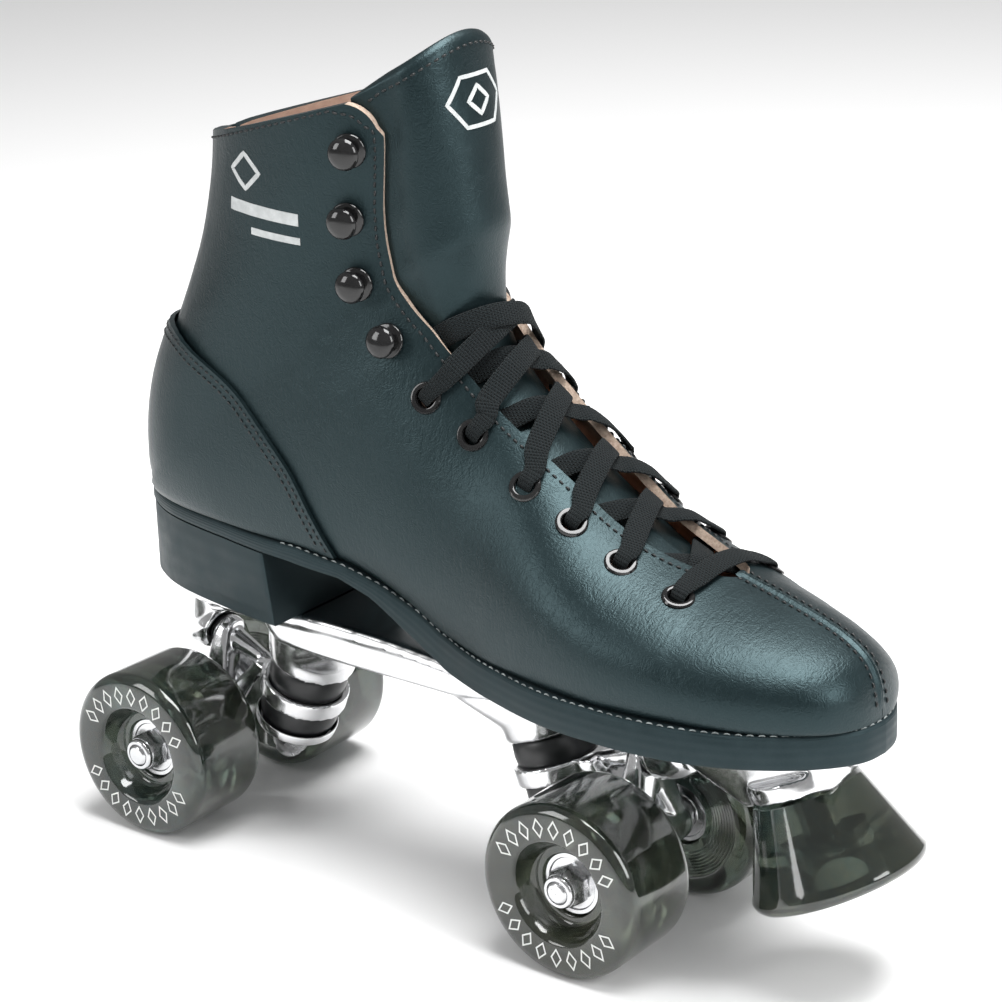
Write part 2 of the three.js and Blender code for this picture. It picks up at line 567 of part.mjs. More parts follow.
const plateTop = SOLE_Z - GAP;
const kx = AXLE_X / 94;
const outline = [
  [-108, 8], [-105.5, 14], [-99, 20], [-90, 25], [-62, 28.5], [-48, 27], [-38, 25], [-25, 24], [0, 25],
  [22, 27.5], [40, 30], [60, 34], [84, 36], [108, 35], [128, 30], [146, 24], [168, 20], [178, 16], [183, 9],
].map(([x, w]) => [x * kx, w]);
const flange = planSlab(
  [...outline.map(([x, w]) => [x, -w]), ...outline.slice().reverse().map(([x, w]) => [x, w])],
  plateTop - PLATE_T,
  plateTop,
);
const ribs = [-1, 1].map((s) =>
  sideSlab(
    [[-54, -2], [-48, -8.5], [-22, -9.5], [26, -9.5], [46, -7], [54, -1], [54, 3], [-54, 3]].map(([x, z]) => [x * kx, plateTop - PLATE_T + z]),
    s < 0 ? -23.4 : 19.4,
    s < 0 ? -19.4 : 23.4,
  ),
);
const stopTilt = rad(STOP_TILT);
const STOP_AXIS = V(Math.sin(stopTilt), 0, -Math.cos(stopTilt));
const STOP_AT = V(AXLE_X + 62.5, 0, SOLE_Z - 24.3);
const faceAlong = V(Math.cos(stopTilt), 0, Math.sin(stopTilt));
const nf = STOP_AT.clone().addScaledVector(STOP_AXIS, -GAP);
const n1 = nf.clone().addScaledVector(faceAlong, -17.2);
const n2 = nf.clone().addScaledVector(faceAlong, 19.5);
const nose = join(
  sideSlab(
    [[AXLE_X + 10, plateTop - 17], [n1.x, n1.z], [n2.x, n2.z], [n2.x + 9.5, plateTop - 5], [n2.x + 9.5, plateTop - 0.5], [AXLE_X + 10, plateTop - 0.5]],
    -14,
    14,
  ),
  turned(rod(18.4, 0, 10), nf, STOP_AXIS.clone().negate(), 24),
);
const below = block(-300, 300, -100, 100, -50, plateTop);
const BOSS_R = 15.8;
const disc = (c, r, h, axis, rear = false, n = 8) => {
  const pts = [];
  const q = new THREE.Quaternion().setFromUnitVectors(V(0, 0, 1), axis);
  for (let i = 0; i < n; i++) {
    for (const e of [-h / 2, h / 2]) {
      const a = (2 * Math.PI * i) / n;
      pts.push(spun(V(r * Math.cos(a), r * Math.sin(a), e).applyQuaternion(q).add(c), rear));
    }
  }
  return pts;
};
const bosses = both((rear) => {
  const foot = RING.clone().addScaledVector(DOWN, BOSS_AT - 0.5);
  const head = RING.clone().addScaledVector(DOWN, BOSS_AT - 27);
  const cone = hull([...disc(foot, BOSS_R, 1, DOWN, rear, 16), ...disc(V(head.x + 4, 0, plateTop - 1), BOSS_R + 3.4, 1, V(0, 0, 1), rear, 16)]);
  const skirt = [-1, 1].flatMap((y) => [-13.5, -4].map((z) => spun(V(24 * kx, y * 21.5, plateTop + z), rear)));
  return join(cone, hull([...disc(RING.clone().addScaledVector(DOWN, BOSS_AT - 7), BOSS_R - 2.4, 1, DOWN, rear, 10), ...skirt]));
});
const housings = both((rear) => {
  const at = RING.clone().addScaledVector(STEER, PIVOT_END - 3);
  const post = turned([[0, 0], [6.5, 0], [9, 2.6], [9.6, 40], [0, 40]], spun(V(at.x - 0.5, 0, at.z - 7.5), rear), V(0, 0, 1), 14);
  const socket = turned([[0, 0], [9.2, 0], [9.6, 1.6], [9.6, 12], [7.5, 15.4], [0, 15.4]], spun(RING.clone().addScaledVector(STEER, 42.8), rear), spun(STEER, rear), 14);
  return join(post, socket).intersect(below);
});
const kingpinBores = both((rear) => turned(rod(KINGPIN_R + GAP, -1, 28), spun(RING.clone().addScaledVector(DOWN, BOSS_AT), rear), spun(DOWN.clone().negate(), rear), 14));
const pivotBores = both((rear) => turned(rod(7.2 + GAP, 30, PIVOT_END + 2.2 + GAP), spun(RING, rear), spun(STEER, rear), 16));
const stopBore = turned(rod(4 + GAP, -2, 19), STOP_AT, STOP_AXIS.clone().negate(), 16);
const plate = cut(
  join(flange, ...ribs, nose, ...bosses, ...housings),
  ...kingpinBores,
  ...pivotBores,
  stopBore,
  ...screwHoles,
);
piece('plate', plate, CHROME);
for (const s of screws) {
  const head = plateTop - PLATE_T - GAP;
  piece(
    s.name,
    turned([[0, head - 3.2], [3, head - 3.2], [4.6, head - 1.8], [4.6, head], [2.3, head], [2.3, s.top], [0, s.top]], V(s.x, s.y, 0), V(0, 0, 1), 12),
    STEEL,
  );
}

// ---- trucks ----
for (const [end, rear] of [['front', false], ['rear', true]]) {
  const at = (t) => spun(RING.clone().addScaledVector(DOWN, t), rear);
  const down = spun(DOWN, rear);
  const steer = spun(STEER, rear);
  const axle = spun(V(AXLE_X, 0, AXLE_Z), rear);
  const across = V(0, 1, 0);
  // hanger: kingpin ring, axle housing, ribs and pivot pin in one casting
  const endY = FACE_Y - WHEEL_W + INNER_INSET - GAP;
  const housing = turned(
    [[0, -endY], [5.5, -endY], [5.5, -endY + 2], [7.6, -endY + 2.6], [8.2, 0], [7.6, endY - 2.6], [5.5, endY - 2], [5.5, endY], [0, endY]],
    axle,
    across,
    16,
  );
  const ringBody = turned(
    [[0, -RING_T / 2], [RING_R - 1.5, -RING_T / 2], [RING_R, -RING_T / 2 + 1.5], [RING_R, RING_T / 2 - 1.5], [RING_R - 1.5, RING_T / 2], [0, RING_T / 2]],
    at(0),
    down,
    24,
  );
  const pinFrom = RING.clone().addScaledVector(STEER, 40.5);
  const point = (x, y, z) => spun(V(x, y, z), rear);
  const knob = disc(pinFrom.clone().addScaledVector(STEER, -2), 7, 4.5, STEER, rear);
  const axleBlob = (y, r) => disc(V(AXLE_X, y, AXLE_Z), r, 3, across, rear);
  const webs = [
    hull([...knob, ...axleBlob(-13.5, 7.2)]),
    hull([...knob, ...axleBlob(13.5, 7.2)]),
    hull([...disc(RING.clone().addScaledVector(STEER, 18), 2.4, 16, across, rear), ...disc(V(AXLE_X, 0, AXLE_Z), 5.5, 17, across, rear)]),
    hull([...disc(RING.clone().addScaledVector(STEER, 9), 8, RING_T - 2.4, DOWN, rear), ...disc(RING.clone().addScaledVector(STEER, 18), 2.4, 16, across, rear)]),
    hull([...disc(RING.clone().addScaledVector(STEER, 17), 2.6, 5, STEER, rear), ...knob]),
  ];
  const tooth = turned([[0, 0], [7, 0], [4.7, 3], [4.5, 10.5], [3.2, 12], [0, 12]], spun(pinFrom, rear), steer, 14);
  const cupSeat = 1.2;
  const seats = [
    turned(rod(CUSHION_R + 0.5, RING_T / 2 - cupSeat, 30), at(0), down, 20),
    turned(rod(CUSHION_R + 0.5, RING_T / 2 - cupSeat, 30), at(0), down.clone().negate(), 20),
  ];
  const hanger = cut(
    cut(join(ringBody, ...webs), ...seats).add(join(housing, tooth)),
    turned(rod(7.2, -20, 20), at(0), down, 16),
    turned(rod(AXLE_R + GAP + 0.05, -60, 60), axle, across, 16),
  );
  piece('hanger_' + end, hanger, CHROME);
  piece('axle_' + end, turned(rod(AXLE_R, -FACE_Y + 0.5, FACE_Y - 0.5, 0.8), axle, across, 20), STEEL);
  piece('pivot_cup_' + end, turned([[0, PIVOT_END + 2.2], [7.2, PIVOT_END + 2.2], [7.2, 43.6], [5.2, 43.6], [5.2, PIVOT_END], [0, PIVOT_END]], spun(RING, rear), steer, 20), ENAMEL);
  // kingpin stack: cushion, ring, cushion, retainer and nut
  const low = RING_T / 2 - cupSeat + GAP;
  const cushTop = -BOSS_AT - GAP;
  const retain = 11.4;
  piece('cushion_upper_' + end, turned([[KINGPIN_R + GAP, low], [CUSHION_R - 1, low], [CUSHION_R, low + 1.5], [CUSHION_R, cushTop - 1.5], [CUSHION_R - 1, cushTop], [KINGPIN_R + GAP, cushTop], [KINGPIN_R + GAP, low]], at(0), down.clone().negate(), 24), RUBBER);
  piece('cushion_lower_' + end, turned([[KINGPIN_R + GAP, low], [CUSHION_R - 1, low], [CUSHION_R, low + 1.5], [CUSHION_R - 1.2, retain + 2.6], [CUSHION_R - 2, retain + 3.6], [KINGPIN_R + GAP, retain + 3.6], [KINGPIN_R + GAP, low]], at(0), down, 24), RUBBER);
  piece('retainer_' + end, turned([[KINGPIN_R + GAP, retain + 3.9], [CUSHION_R - 1.6, retain + 3.9], [CUSHION_R - 0.7, retain + 2.9], [CUSHION_R + 0.4, retain + 0.6], [CUSHION_R + 1, retain + 0.6], [CUSHION_R + 0.6, retain + 4], [CUSHION_R - 1.4, retain + 5.6], [KINGPIN_R + GAP, retain + 5.6], [KINGPIN_R + GAP, retain + 3.9]], at(0), down, 18), CHROME);
  piece('kingpin_' + end, turned(rod(KINGPIN_R, BOSS_AT - 24, retain + 18.5, 0.7), at(0), down, 20), STEEL);
  piece('kingpin_nut_' + end, cut(join(hex(14.5, 7, at(retain + 5.9), down), turned(rod(6.6, 6.5, 9), at(retain + 5.9), down, 20)), turned(rod(KINGPIN_R + GAP, -5, 20), at(retain + 5.9), down, 20)), STEEL);
  // wheels, bearings and axle nuts
  for (const [hand, side] of [['right', -1], ['left', 1]]) {
    const inward = V(0, -side, 0);
    const face = V(axle.x, side * FACE_Y, axle.z);
    const seat = BEARING_R + GAP;
    const b0 = OUTER_INSET;
    const b1 = WHEEL_W - INNER_INSET;
    const arc = (r0, h0, dr, dh) => [[r0 + dr * 0.5, h0 + dh * 0.13], [r0 + dr * 0.87, h0 + dh * 0.5]];
    const e = 4.5;
    const profile = [
      [WHEEL_R * 0.58, 0], [WHEEL_R - e, 0], ...arc(WHEEL_R - e, 0, e, e), [WHEEL_R, e], [WHEEL_R, WHEEL_W - e],
      ...arc(WHEEL_R - e, 0, e, e).reverse().map(([r, h]) => [r, WHEEL_W - h]), [WHEEL_R - e, WHEEL_W],
      [seat, WHEEL_W], [seat, b1 - BEARING_W - GAP], [seat - 2.4, b1 - BEARING_W - GAP],
      [seat - 2.4, b0 + BEARING_W + GAP], [seat, b0 + BEARING_W + GAP], [seat, b0 - 1], [seat + 2.6, b0 - 1.6], [WHEEL_R * 0.58, 0],
    ];
    piece('wheel_' + end + '_' + hand, turned(profile, face, inward, 26), URETHANE);
    const bearing = (h) => [
      [BEARING_BORE_R, h], [6, h], [6.3, h + 0.4], [9.2, h + 0.4], [9.5, h], [BEARING_R, h],
      [BEARING_R, h + BEARING_W], [BEARING_BORE_R, h + BEARING_W], [BEARING_BORE_R, h],
    ];
    piece('bearing_outer_' + end + '_' + hand, turned(bearing(b0), face, inward, 16), STEEL);
    piece('bearing_inner_' + end + '_' + hand, turned(bearing(b1 - BEARING_W), face, inward, 16), STEEL);
    const nutAt = V(axle.x, side * (FACE_Y - b0 + GAP), axle.z);
    const out = V(0, side, 0);
    piece('axle_nut_' + end + '_' + hand, cut(join(hex(NUT_AF, 6.2, nutAt, out), turned([[0, 5.5], [5.8, 5.5], [5.8, 7.4], [5.2, 8], [0, 8]], nutAt, out, 20)), turned(rod(AXLE_R + GAP, -3, 12), nutAt, out, 20)), STEEL);
  }
}

// ---- front stop and its bolt ----
const stopProfile = [
  [4.4, 0], [STOP_TOP_R - 1, 0], [STOP_TOP_R, 1], [STOP_BOTTOM_R - 0.8, STOP_LENGTH - 5], [STOP_BOTTOM_R, STOP_LENGTH - 3.6],
  [STOP_BOTTOM_R - 0.6, STOP_LENGTH - 1.6], [STOP_BOTTOM_R - 3.4, STOP_LENGTH], [10, STOP_LENGTH], [10, STOP_LENGTH - 16], [4.4, STOP_LENGTH - 16], [4.4, 0],
];
piece('toe_stop', turned(stopProfile, STOP_AT, STOP_AXIS, 28), URETHANE);
piece(
  'toe_stop_bolt',
  join(turned(rod(4, -17, STOP_LENGTH - 12), STOP_AT, STOP_AXIS, 16), hex(13, 5.3, STOP_AT.clone().addScaledVector(STOP_AXIS, STOP_LENGTH - 16 + GAP + 1.6 + GAP), STOP_AXIS)),
  STEEL,
);
piece('toe_stop_washer', turned(ring(4.3, 9.5, STOP_LENGTH - 16 + GAP, STOP_LENGTH - 16 + GAP + 1.6), STOP_AT, STOP_AXIS, 16), STEEL);

// ---- lace hooks up the shaft ----
for (const [hand, side] of [['right', -1], ['left', 1]]) {
  HOOK_W.forEach((w, i) => {
    const s = hookAt(i, side);
    const n = frontPoint(s, w, side, null);
    const at = frontPoint(s, w, side, GAP + 0.2);
    piece('hook_' + hand + '_' + (i + 1), turned([[0, 0], [5.2, 0], [5.2, 0.8], [2.3, 1.4], [2.3, 4], [5.4, 4.3], [5, 5.6], [0, 7]], at, n, 12), ENAMEL);
  });
}

// ---- lace: one flat lace, barred across the lowest pair and crossed up to the sixth, ends tucked ----
const eyeS = { '-1': EYELET_W.map((_, i) => eyeletAt(i, -1)), 1: EYELET_W.map((_, i) => eyeletAt(i, 1)) };
const INSIDE = -(LEATHER_T + 1.8); // where the lace runs behind a facing, measured out along the normal
// One point of the lace: station, signed half width, height along the normal, half width and thickness there.
const laid = (s, y, out, wide = LACE_W / 2, thick = LACE_T, held = false) => {
  const side = y < 0 ? -1 : 1;
  const w = Math.abs(y);
  return {
    at: frontPoint(s, w, side, out),
    up: frontPoint(s, w, side, null),
    edge: held ? frontPoint(s + 0.2, w, side).sub(frontPoint(s - 0.2, w, side)) : null,
    wide,
    thick,
  };
};
// Through an eyelet of pair i, from the inside out.
const thread = (i, side) =>
  [[-4.4, INSIDE + 0.1, 3.4, 1.3], [-0.9, INSIDE + 0.3, 2.8, 1.5], [0.5, -LEATHER_T, 2.6, 1.5], [0.6, -0.6, 2.6, 1.5], [-0.9, 1.6, 2.8, 1.5], [-4.4, 1.8, 3.4, 1.3]].map(
    ([y, out, wide, thick]) => laid(eyeS[side][i], side * (EYELET_W[i] + y), out, wide, thick, true),
  );
// From the outside of pair i on one side to the inside of the next pair up on the other.
const crossing = (i, side) => {
  const [a, b] = [eyeS[side][i], eyeS[-side][i - 1]];
  const [wa, wb] = [station(a).gap + 1, station(b).gap + 1];
  const over = side < 0;
  const rows = over
    ? [[wa, 1.7], [8, 1.1], [0.1, 0.4], [-8, -0.5], [-12, INSIDE + 2], [-wb, INSIDE]]
    : [[wa, 1.7], [12, 0.1], [8, -2], [0.1, -2.1], [-8, -LEATHER_T], [-wb, INSIDE]];
  return rows.map(([y, out]) => laid(a + (b - a) * (0.16 + (0.7 * (wa - y)) / (wa + wb)), side * y, out));
};
// From the inside of the lowest pair to the inside of the next pair up, under both facings.
const under = (side) => {
  const [a, b] = [eyeS[side][5], eyeS[-side][4]];
  const [wa, wb] = [station(a).gap, station(b).gap];
  const deep = side < 0 ? INSIDE + 1.3 : INSIDE - 0.4;
  return [[wa, INSIDE], [0.1, deep], [-wb, INSIDE]].map(([y, out]) =>
    laid(a + (b - a) * (0.2 + (0.6 * (wa - y)) / (wa + wb)), side * y, out),
  );
};
const tail = (side) => {
  const a = eyeS[side][0];
  const g = station(a).gap + 1;
  const rise = side > 0 ? 1.6 : 1.3;
  const rows = side > 0
    ? [[g, 1.8], [8, 2.6], [0.1, 2.4], [-8, 1.6], [-g + 4, -1.2], [-g, INSIDE + 0.4], [-g - 4, INSIDE]]
    : [[g, 1.8], [8, 0.9], [0.1, 0.2], [-8, -0.6], [-g + 4, -2.4], [-g, INSIDE + 0.4], [-g - 4, INSIDE]];
  return rows.map(([y, out]) => laid(a + 0.1 + (rise * (g - y)) / (2 * g), side * y, out));
};
const bar = () => {
  const [a, b] = [eyeS[-1][5], eyeS[1][5]];
  return [-1, -0.4, 0.4, 1].map((y) => laid(a + ((b - a) * (y + 1)) / 2, y * 17, 1.9 - 0.3 * Math.abs(y)));
};
const back = (points) => points.slice().reverse();
const laceWay = back(tail(1));
let hand = 1;
for (let i = 0; i < 5; i++, hand = -hand) {
  laceWay.push(...back(thread(i, hand)));
  laceWay.push(...back(i < 4 ? crossing(i + 1, -hand) : under(-hand)));
}
laceWay.push(...thread(5, -1), ...bar(), ...back(thread(5, 1)), ...under(1));
for (let i = 4; i >= 0; i--, hand = -hand) {
  laceWay.push(...thread(i, hand), ...(i > 0 ? crossing(i, hand) : tail(hand)));
}
const lacePoints = [];
let before = null;
laceWay.forEach((p, i) => {
  const T = laceWay[Math.min(i + 1, laceWay.length - 1)].at.clone().sub(laceWay[Math.max(i - 1, 0)].at).normalize();
  const B = p.edge ? p.edge.clone() : p.up.clone().cross(T);
  B.addScaledVector(T, -B.dot(T)).normalize();
  if (before && B.dot(before) < 0) B.negate();
  before = B;
  const W = T.clone().cross(B);
  for (const [x, y] of [[-1, -0.5], [1, -0.5], [1, 0.5], [-1, 0.5]]) {
    lacePoints.push(p.at.clone().addScaledVector(B, x * p.wide).addScaledVector(W, y * p.thick));
  }
});
const laceIndex = [0, 2, 1, 0, 3, 2];
for (let i = 0; i + 1 < laceWay.length; i++) {
  for (let k = 0; k < 4; k++) {
    const [a, b] = [i * 4 + k, i * 4 + ((k + 1) % 4)];
    laceIndex.push(a, b, b + 4, a, b + 4, a + 4);
  }
}
const end = (laceWay.length - 1) * 4;
laceIndex.push(end, end + 1, end + 2, end, end + 2, end + 3);
const laceForm = new THREE.BufferGeometry();
laceForm.setAttribute('position', new THREE.BufferAttribute(new Float32Array(lacePoints.flatMap((p) => p.toArray())), 3));
laceForm.setIndex(laceIndex);
piece('lace', solidOf(laceForm), { color: 0x16191a, roughness: 0.9 });

// ---- the part's own frame: on the ground, middle of the outside box ----
const box = new THREE.Box3().setFromObject(group);
const shift = V(-(box.min.x + box.max.x) / 2, -(box.min.y + box.max.y) / 2, -box.min.z);
for (const mesh of group.children) mesh.geometry.translate(shift.x, shift.y, shift.z);

export default group;
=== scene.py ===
# One quad roller skate: a lace-up leather boot on a polished cast plate, with two steering
# trucks, four smoky urethane wheels and a front stop. It is built in the order a maker would:
# boot, sole, plate, trucks, wheels, stop, then lacing and stitching. Units are metres.
import math

import bpy
from mathutils import Matrix, Vector
from mathutils.bvhtree import BVHTree


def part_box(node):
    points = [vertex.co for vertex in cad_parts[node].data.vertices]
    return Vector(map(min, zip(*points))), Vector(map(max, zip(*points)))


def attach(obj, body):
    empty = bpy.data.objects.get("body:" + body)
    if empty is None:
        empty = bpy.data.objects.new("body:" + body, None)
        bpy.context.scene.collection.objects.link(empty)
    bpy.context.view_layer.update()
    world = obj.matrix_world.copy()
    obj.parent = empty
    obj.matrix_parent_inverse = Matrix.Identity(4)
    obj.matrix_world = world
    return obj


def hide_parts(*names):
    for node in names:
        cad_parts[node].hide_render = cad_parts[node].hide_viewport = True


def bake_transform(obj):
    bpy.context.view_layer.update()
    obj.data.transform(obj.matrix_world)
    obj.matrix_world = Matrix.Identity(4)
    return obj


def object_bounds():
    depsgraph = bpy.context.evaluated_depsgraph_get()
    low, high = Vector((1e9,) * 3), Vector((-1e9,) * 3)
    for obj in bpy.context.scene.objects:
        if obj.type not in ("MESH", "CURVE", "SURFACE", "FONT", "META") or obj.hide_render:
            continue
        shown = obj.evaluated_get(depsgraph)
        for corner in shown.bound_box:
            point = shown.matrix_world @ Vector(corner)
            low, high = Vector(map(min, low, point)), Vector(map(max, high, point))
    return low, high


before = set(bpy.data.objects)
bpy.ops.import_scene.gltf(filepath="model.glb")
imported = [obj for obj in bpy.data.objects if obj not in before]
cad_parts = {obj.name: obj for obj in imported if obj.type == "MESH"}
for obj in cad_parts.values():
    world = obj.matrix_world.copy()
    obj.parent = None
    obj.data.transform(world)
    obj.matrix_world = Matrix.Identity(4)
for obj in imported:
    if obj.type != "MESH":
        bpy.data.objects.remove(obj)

cad_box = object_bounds()

# ---- camera ----
# A long lens, well back, above the toe and to the inner side of the foot.
lens = bpy.data.cameras.new("camera")
lens.sensor_width = 36
lens.lens = 108.27
lens.clip_start = 0.05
camera = bpy.data.objects.new("camera", lens)
bpy.context.scene.collection.objects.link(camera)
camera.matrix_world = (
    Matrix.Translation((0.58486, -0.74827, 0.49141))
    @ Matrix.Rotation(math.radians(38.013), 4, "Z")
    @ Matrix.Rotation(math.radians(90 - 20.346), 4, "X")
    @ Matrix.Rotation(math.radians(-1.76), 4, "Z")
)
bpy.context.scene.camera = camera

# ---- floor and lights ----
# A white floor, one broad softbox overhead, one beside the camera and one off the toe.
bpy.ops.object.select_all(action="DESELECT")
bpy.ops.mesh.primitive_plane_add(size=9, location=(0, 0, cad_box[0][2] - 0.0002))
floor = bpy.context.object
floor.name = "floor"
paper = bpy.data.materials.new("paper_white")
paper.use_nodes = True
paper.node_tree.nodes["Principled BSDF"].inputs["Base Color"].default_value = (0.9, 0.9, 0.9, 1)
paper.node_tree.nodes["Principled BSDF"].inputs["Roughness"].default_value = 0.9
floor.data.materials.append(paper)

world = bpy.data.worlds.new("studio")
world.use_nodes = True
world.node_tree.nodes["Background"].inputs["Color"].default_value = (1, 1, 1, 1)
world.node_tree.nodes["Background"].inputs["Strength"].default_value = 0.34
seen = world.node_tree.nodes.new("ShaderNodeLightPath").outputs["Is Camera Ray"]
bright = world.node_tree.nodes.new("ShaderNodeMapRange")
world.node_tree.links.new(seen, bright.inputs["Value"])
bright.inputs["To Min"].default_value = 0.34
bright.inputs["To Max"].default_value = 1.0
world.node_tree.links.new(bright.outputs[0], world.node_tree.nodes["Background"].inputs["Strength"])
bpy.context.scene.world = world
bpy.context.scene.view_settings.view_transform = "Standard"


def softbox(name, place, aim, wide, tall, watts):
    lamp = bpy.data.lights.new(name, "AREA")
    lamp.shape = "RECTANGLE"
    lamp.size = wide
    lamp.size_y = tall
    lamp.energy = watts
    holder = bpy.data.objects.new(name, lamp)
    bpy.context.scene.collection.objects.link(holder)
    way = Vector(place) - Vector(aim)
    holder.matrix_world = Matrix.Translation(place) @ way.to_track_quat("Z", "Y").to_matrix().to_4x4()


softbox("overhead", (0.25, 0.1, 1.5), (0.05, 0, 0.1), 1.1, 0.8, 40)
softbox("window", (-0.75, -1.15, 0.75), (0, 0, 0.12), 0.5, 0.8, 8)
softbox("toe_side", (1.5, -0.1, 0.85), (0.05, 0, 0.12), 0.6, 0.9, 15)

# ---- leather, lining and thread ----
# Black smooth-finished leather, dyed with a cool tint and pressed with a fine grain; a suede
# lining the colour of bare skin; waxed thread. Every finish varies a little over its surface.
MM = 0.001


def new_group(name, takes, gives):
    group = bpy.data.node_groups.new(name, "ShaderNodeTree")
    for label, kind, value in takes:
        socket = group.interface.new_socket(label, in_out="INPUT", socket_type=kind)
        if value is not None:
            socket.default_value = value
    for label, kind in gives:
        group.interface.new_socket(label, in_out="OUTPUT", socket_type=kind)
    group.nodes.new("NodeGroupInput")
    group.nodes.new("NodeGroupOutput")
    return group


def maths(tree, how, a, b=None):
    node = tree.nodes.new("ShaderNodeMath")
    node.operation = how
    for slot, value in ((0, a), (1, b)):
        if value is None:
            continue
        if isinstance(value, (int, float)):
            node.inputs[slot].default_value = value
        else:
            tree.links.new(value, node.inputs[slot])
    return node.outputs[0]


def noise(tree, where, scale, detail=3.0, rough=0.55):
    node = tree.nodes.new("ShaderNodeTexNoise")
    tree.links.new(where, node.inputs["Vector"])
    if isinstance(scale, (int, float)):
        node.inputs["Scale"].default_value = scale
    else:
        tree.links.new(scale, node.inputs["Scale"])
    node.inputs["Detail"].default_value = detail
    node.inputs["Roughness"].default_value = rough
    return node.outputs[0]


def between(tree, share, low, high):
    node = tree.nodes.new("ShaderNodeMapRange")
    tree.links.new(share, node.inputs["Value"])
    for label, value in (("To Min", low), ("To Max", high)):
        if isinstance(value, (int, float)):
            node.inputs[label].default_value = value
        else:
            tree.links.new(value, node.inputs[label])
    return node.outputs[0]


def colours(tree, share, first, second):
    node = tree.nodes.new("ShaderNodeMix")
    node.data_type = "RGBA"
    tree.links.new(share, node.inputs[0])
    for slot, value in ((6, first), (7, second)):
        if isinstance(value, tuple):
            node.inputs[slot].default_value = value
        else:
            tree.links.new(value, node.inputs[slot])
    return node.outputs[2]


# Uneven handling: blotches of a second colour, and a sheen that comes and goes.
handled = new_group(
    "handled",
    [("Colour", "NodeSocketColor", None), ("Second colour", "NodeSocketColor", None),
     ("Size", "NodeSocketFloat", 60.0),
     ("Smooth", "NodeSocketFloat", 0.3), ("Rough", "NodeSocketFloat", 0.5)],
    [("Colour", "NodeSocketColor"), ("Roughness", "NodeSocketFloat"), ("Height", "NodeSocketFloat")],
)
where = handled.nodes.new("ShaderNodeTexCoord").outputs["Object"]
inside = handled.nodes["Group Input"].outputs
outside = handled.nodes["Group Output"].inputs
blotch = noise(handled, where, inside["Size"], 4.0)
fine = noise(handled, where, maths(handled, "MULTIPLY", inside["Size"], 22.0), 2.0)
patch = maths(
    handled, "ADD", maths(handled, "MULTIPLY", blotch, 0.7), maths(handled, "MULTIPLY", fine, 0.3)
)
spread = handled.nodes.new("ShaderNodeMapRange")
handled.links.new(patch, spread.inputs["Value"])
spread.inputs["From Min"].default_value = 0.35
spread.inputs["From Max"].default_value = 0.65
handled.links.new(
    colours(handled, spread.outputs[0], inside["Colour"], inside["Second colour"]), outside["Colour"]
)
handled.links.new(
    between(handled, spread.outputs[0], inside["Smooth"], inside["Rough"]), outside["Roughness"]
)
handled.links.new(fine, outside["Height"])

# Leather grain: small rounded cells, pores between them, and finer creases across the flex.
grain = new_group(
    "leather_grain",
    [("Cell", "NodeSocketFloat", 900.0), ("Creases", "NodeSocketFloat", 1.0)],
    [("Height", "NodeSocketFloat"), ("Cells", "NodeSocketFloat")],
)
where = grain.nodes.new("ShaderNodeTexCoord").outputs["Object"]
cells = grain.nodes.new("ShaderNodeTexVoronoi")
cells.feature = "SMOOTH_F1"
cells.inputs["Smoothness"].default_value = 0.6
wander = grain.nodes.new("ShaderNodeMix")
wander.data_type = "VECTOR"
wander.inputs[0].default_value = 0.012
wobble = grain.nodes.new("ShaderNodeTexNoise")
wobble.inputs["Scale"].default_value = 160
grain.links.new(where, wobble.inputs["Vector"])
grain.links.new(where, wander.inputs[4])
grain.links.new(wobble.outputs["Color"], wander.inputs[5])
grain.links.new(wander.outputs[1], cells.inputs["Vector"])
grain.links.new(grain.nodes["Group Input"].outputs["Cell"], cells.inputs["Scale"])
flex = grain.nodes.new("ShaderNodeMapping")
flex.inputs["Rotation"].default_value = (0, math.radians(35), 0)
flex.inputs["Scale"].default_value = (420, 70, 160)
grain.links.new(where, flex.inputs["Vector"])
crease = noise(grain, flex.outputs[0], 1.0, 3.0, 0.6)
crease = maths(grain, "MULTIPLY", maths(grain, "ABSOLUTE", maths(grain, "SUBTRACT", crease, 0.5)), 3.0)
crease = maths(grain, "MULTIPLY", crease, grain.nodes["Group Input"].outputs["Creases"])
height = maths(grain, "SUBTRACT", maths(grain, "MULTIPLY", cells.outputs["Distance"], -1.0), crease)
grain.links.new(height, grain.nodes["Group Output"].inputs["Height"])
grain.links.new(cells.outputs["Distance"], grain.nodes["Group Output"].inputs["Cells"])


def place_group(tree, group, values):
    node = tree.nodes.new("ShaderNodeGroup")
    node.node_tree = group
    for label, value in values.items():
        node.inputs[label].default_value = value
    return node


def bump(tree, height, bsdf, depth, strength=0.5):
    node = tree.nodes.new("ShaderNodeBump")
    node.inputs["Distance"].default_value = depth
    node.inputs["Strength"].default_value = strength
    tree.links.new(height, node.inputs["Height"])
    tree.links.new(node.outputs["Normal"], bsdf.inputs["Normal"])
    return node


def finish(
    name, colour, second, size=60.0, smooth=0.3, rough=0.5, metal=0.0, depth=0.00002, bump_strength=0.3
):
    material = bpy.data.materials.new(name)
    material.use_nodes = True
    tree = material.node_tree
    bsdf = tree.nodes["Principled BSDF"]
    bsdf.inputs["Metallic"].default_value = metal
    wear = place_group(
        tree, handled,
        {
            "Colour": (*colour, 1), "Second colour": (*second, 1), "Size": size, "Smooth": smooth,
            "Rough": rough
        }
    )
    tree.links.new(wear.outputs["Colour"], bsdf.inputs["Base Color"])
    tree.links.new(wear.outputs["Roughness"], bsdf.inputs["Roughness"])
    bump(tree, wear.outputs["Height"], bsdf, depth, bump_strength)
    return material


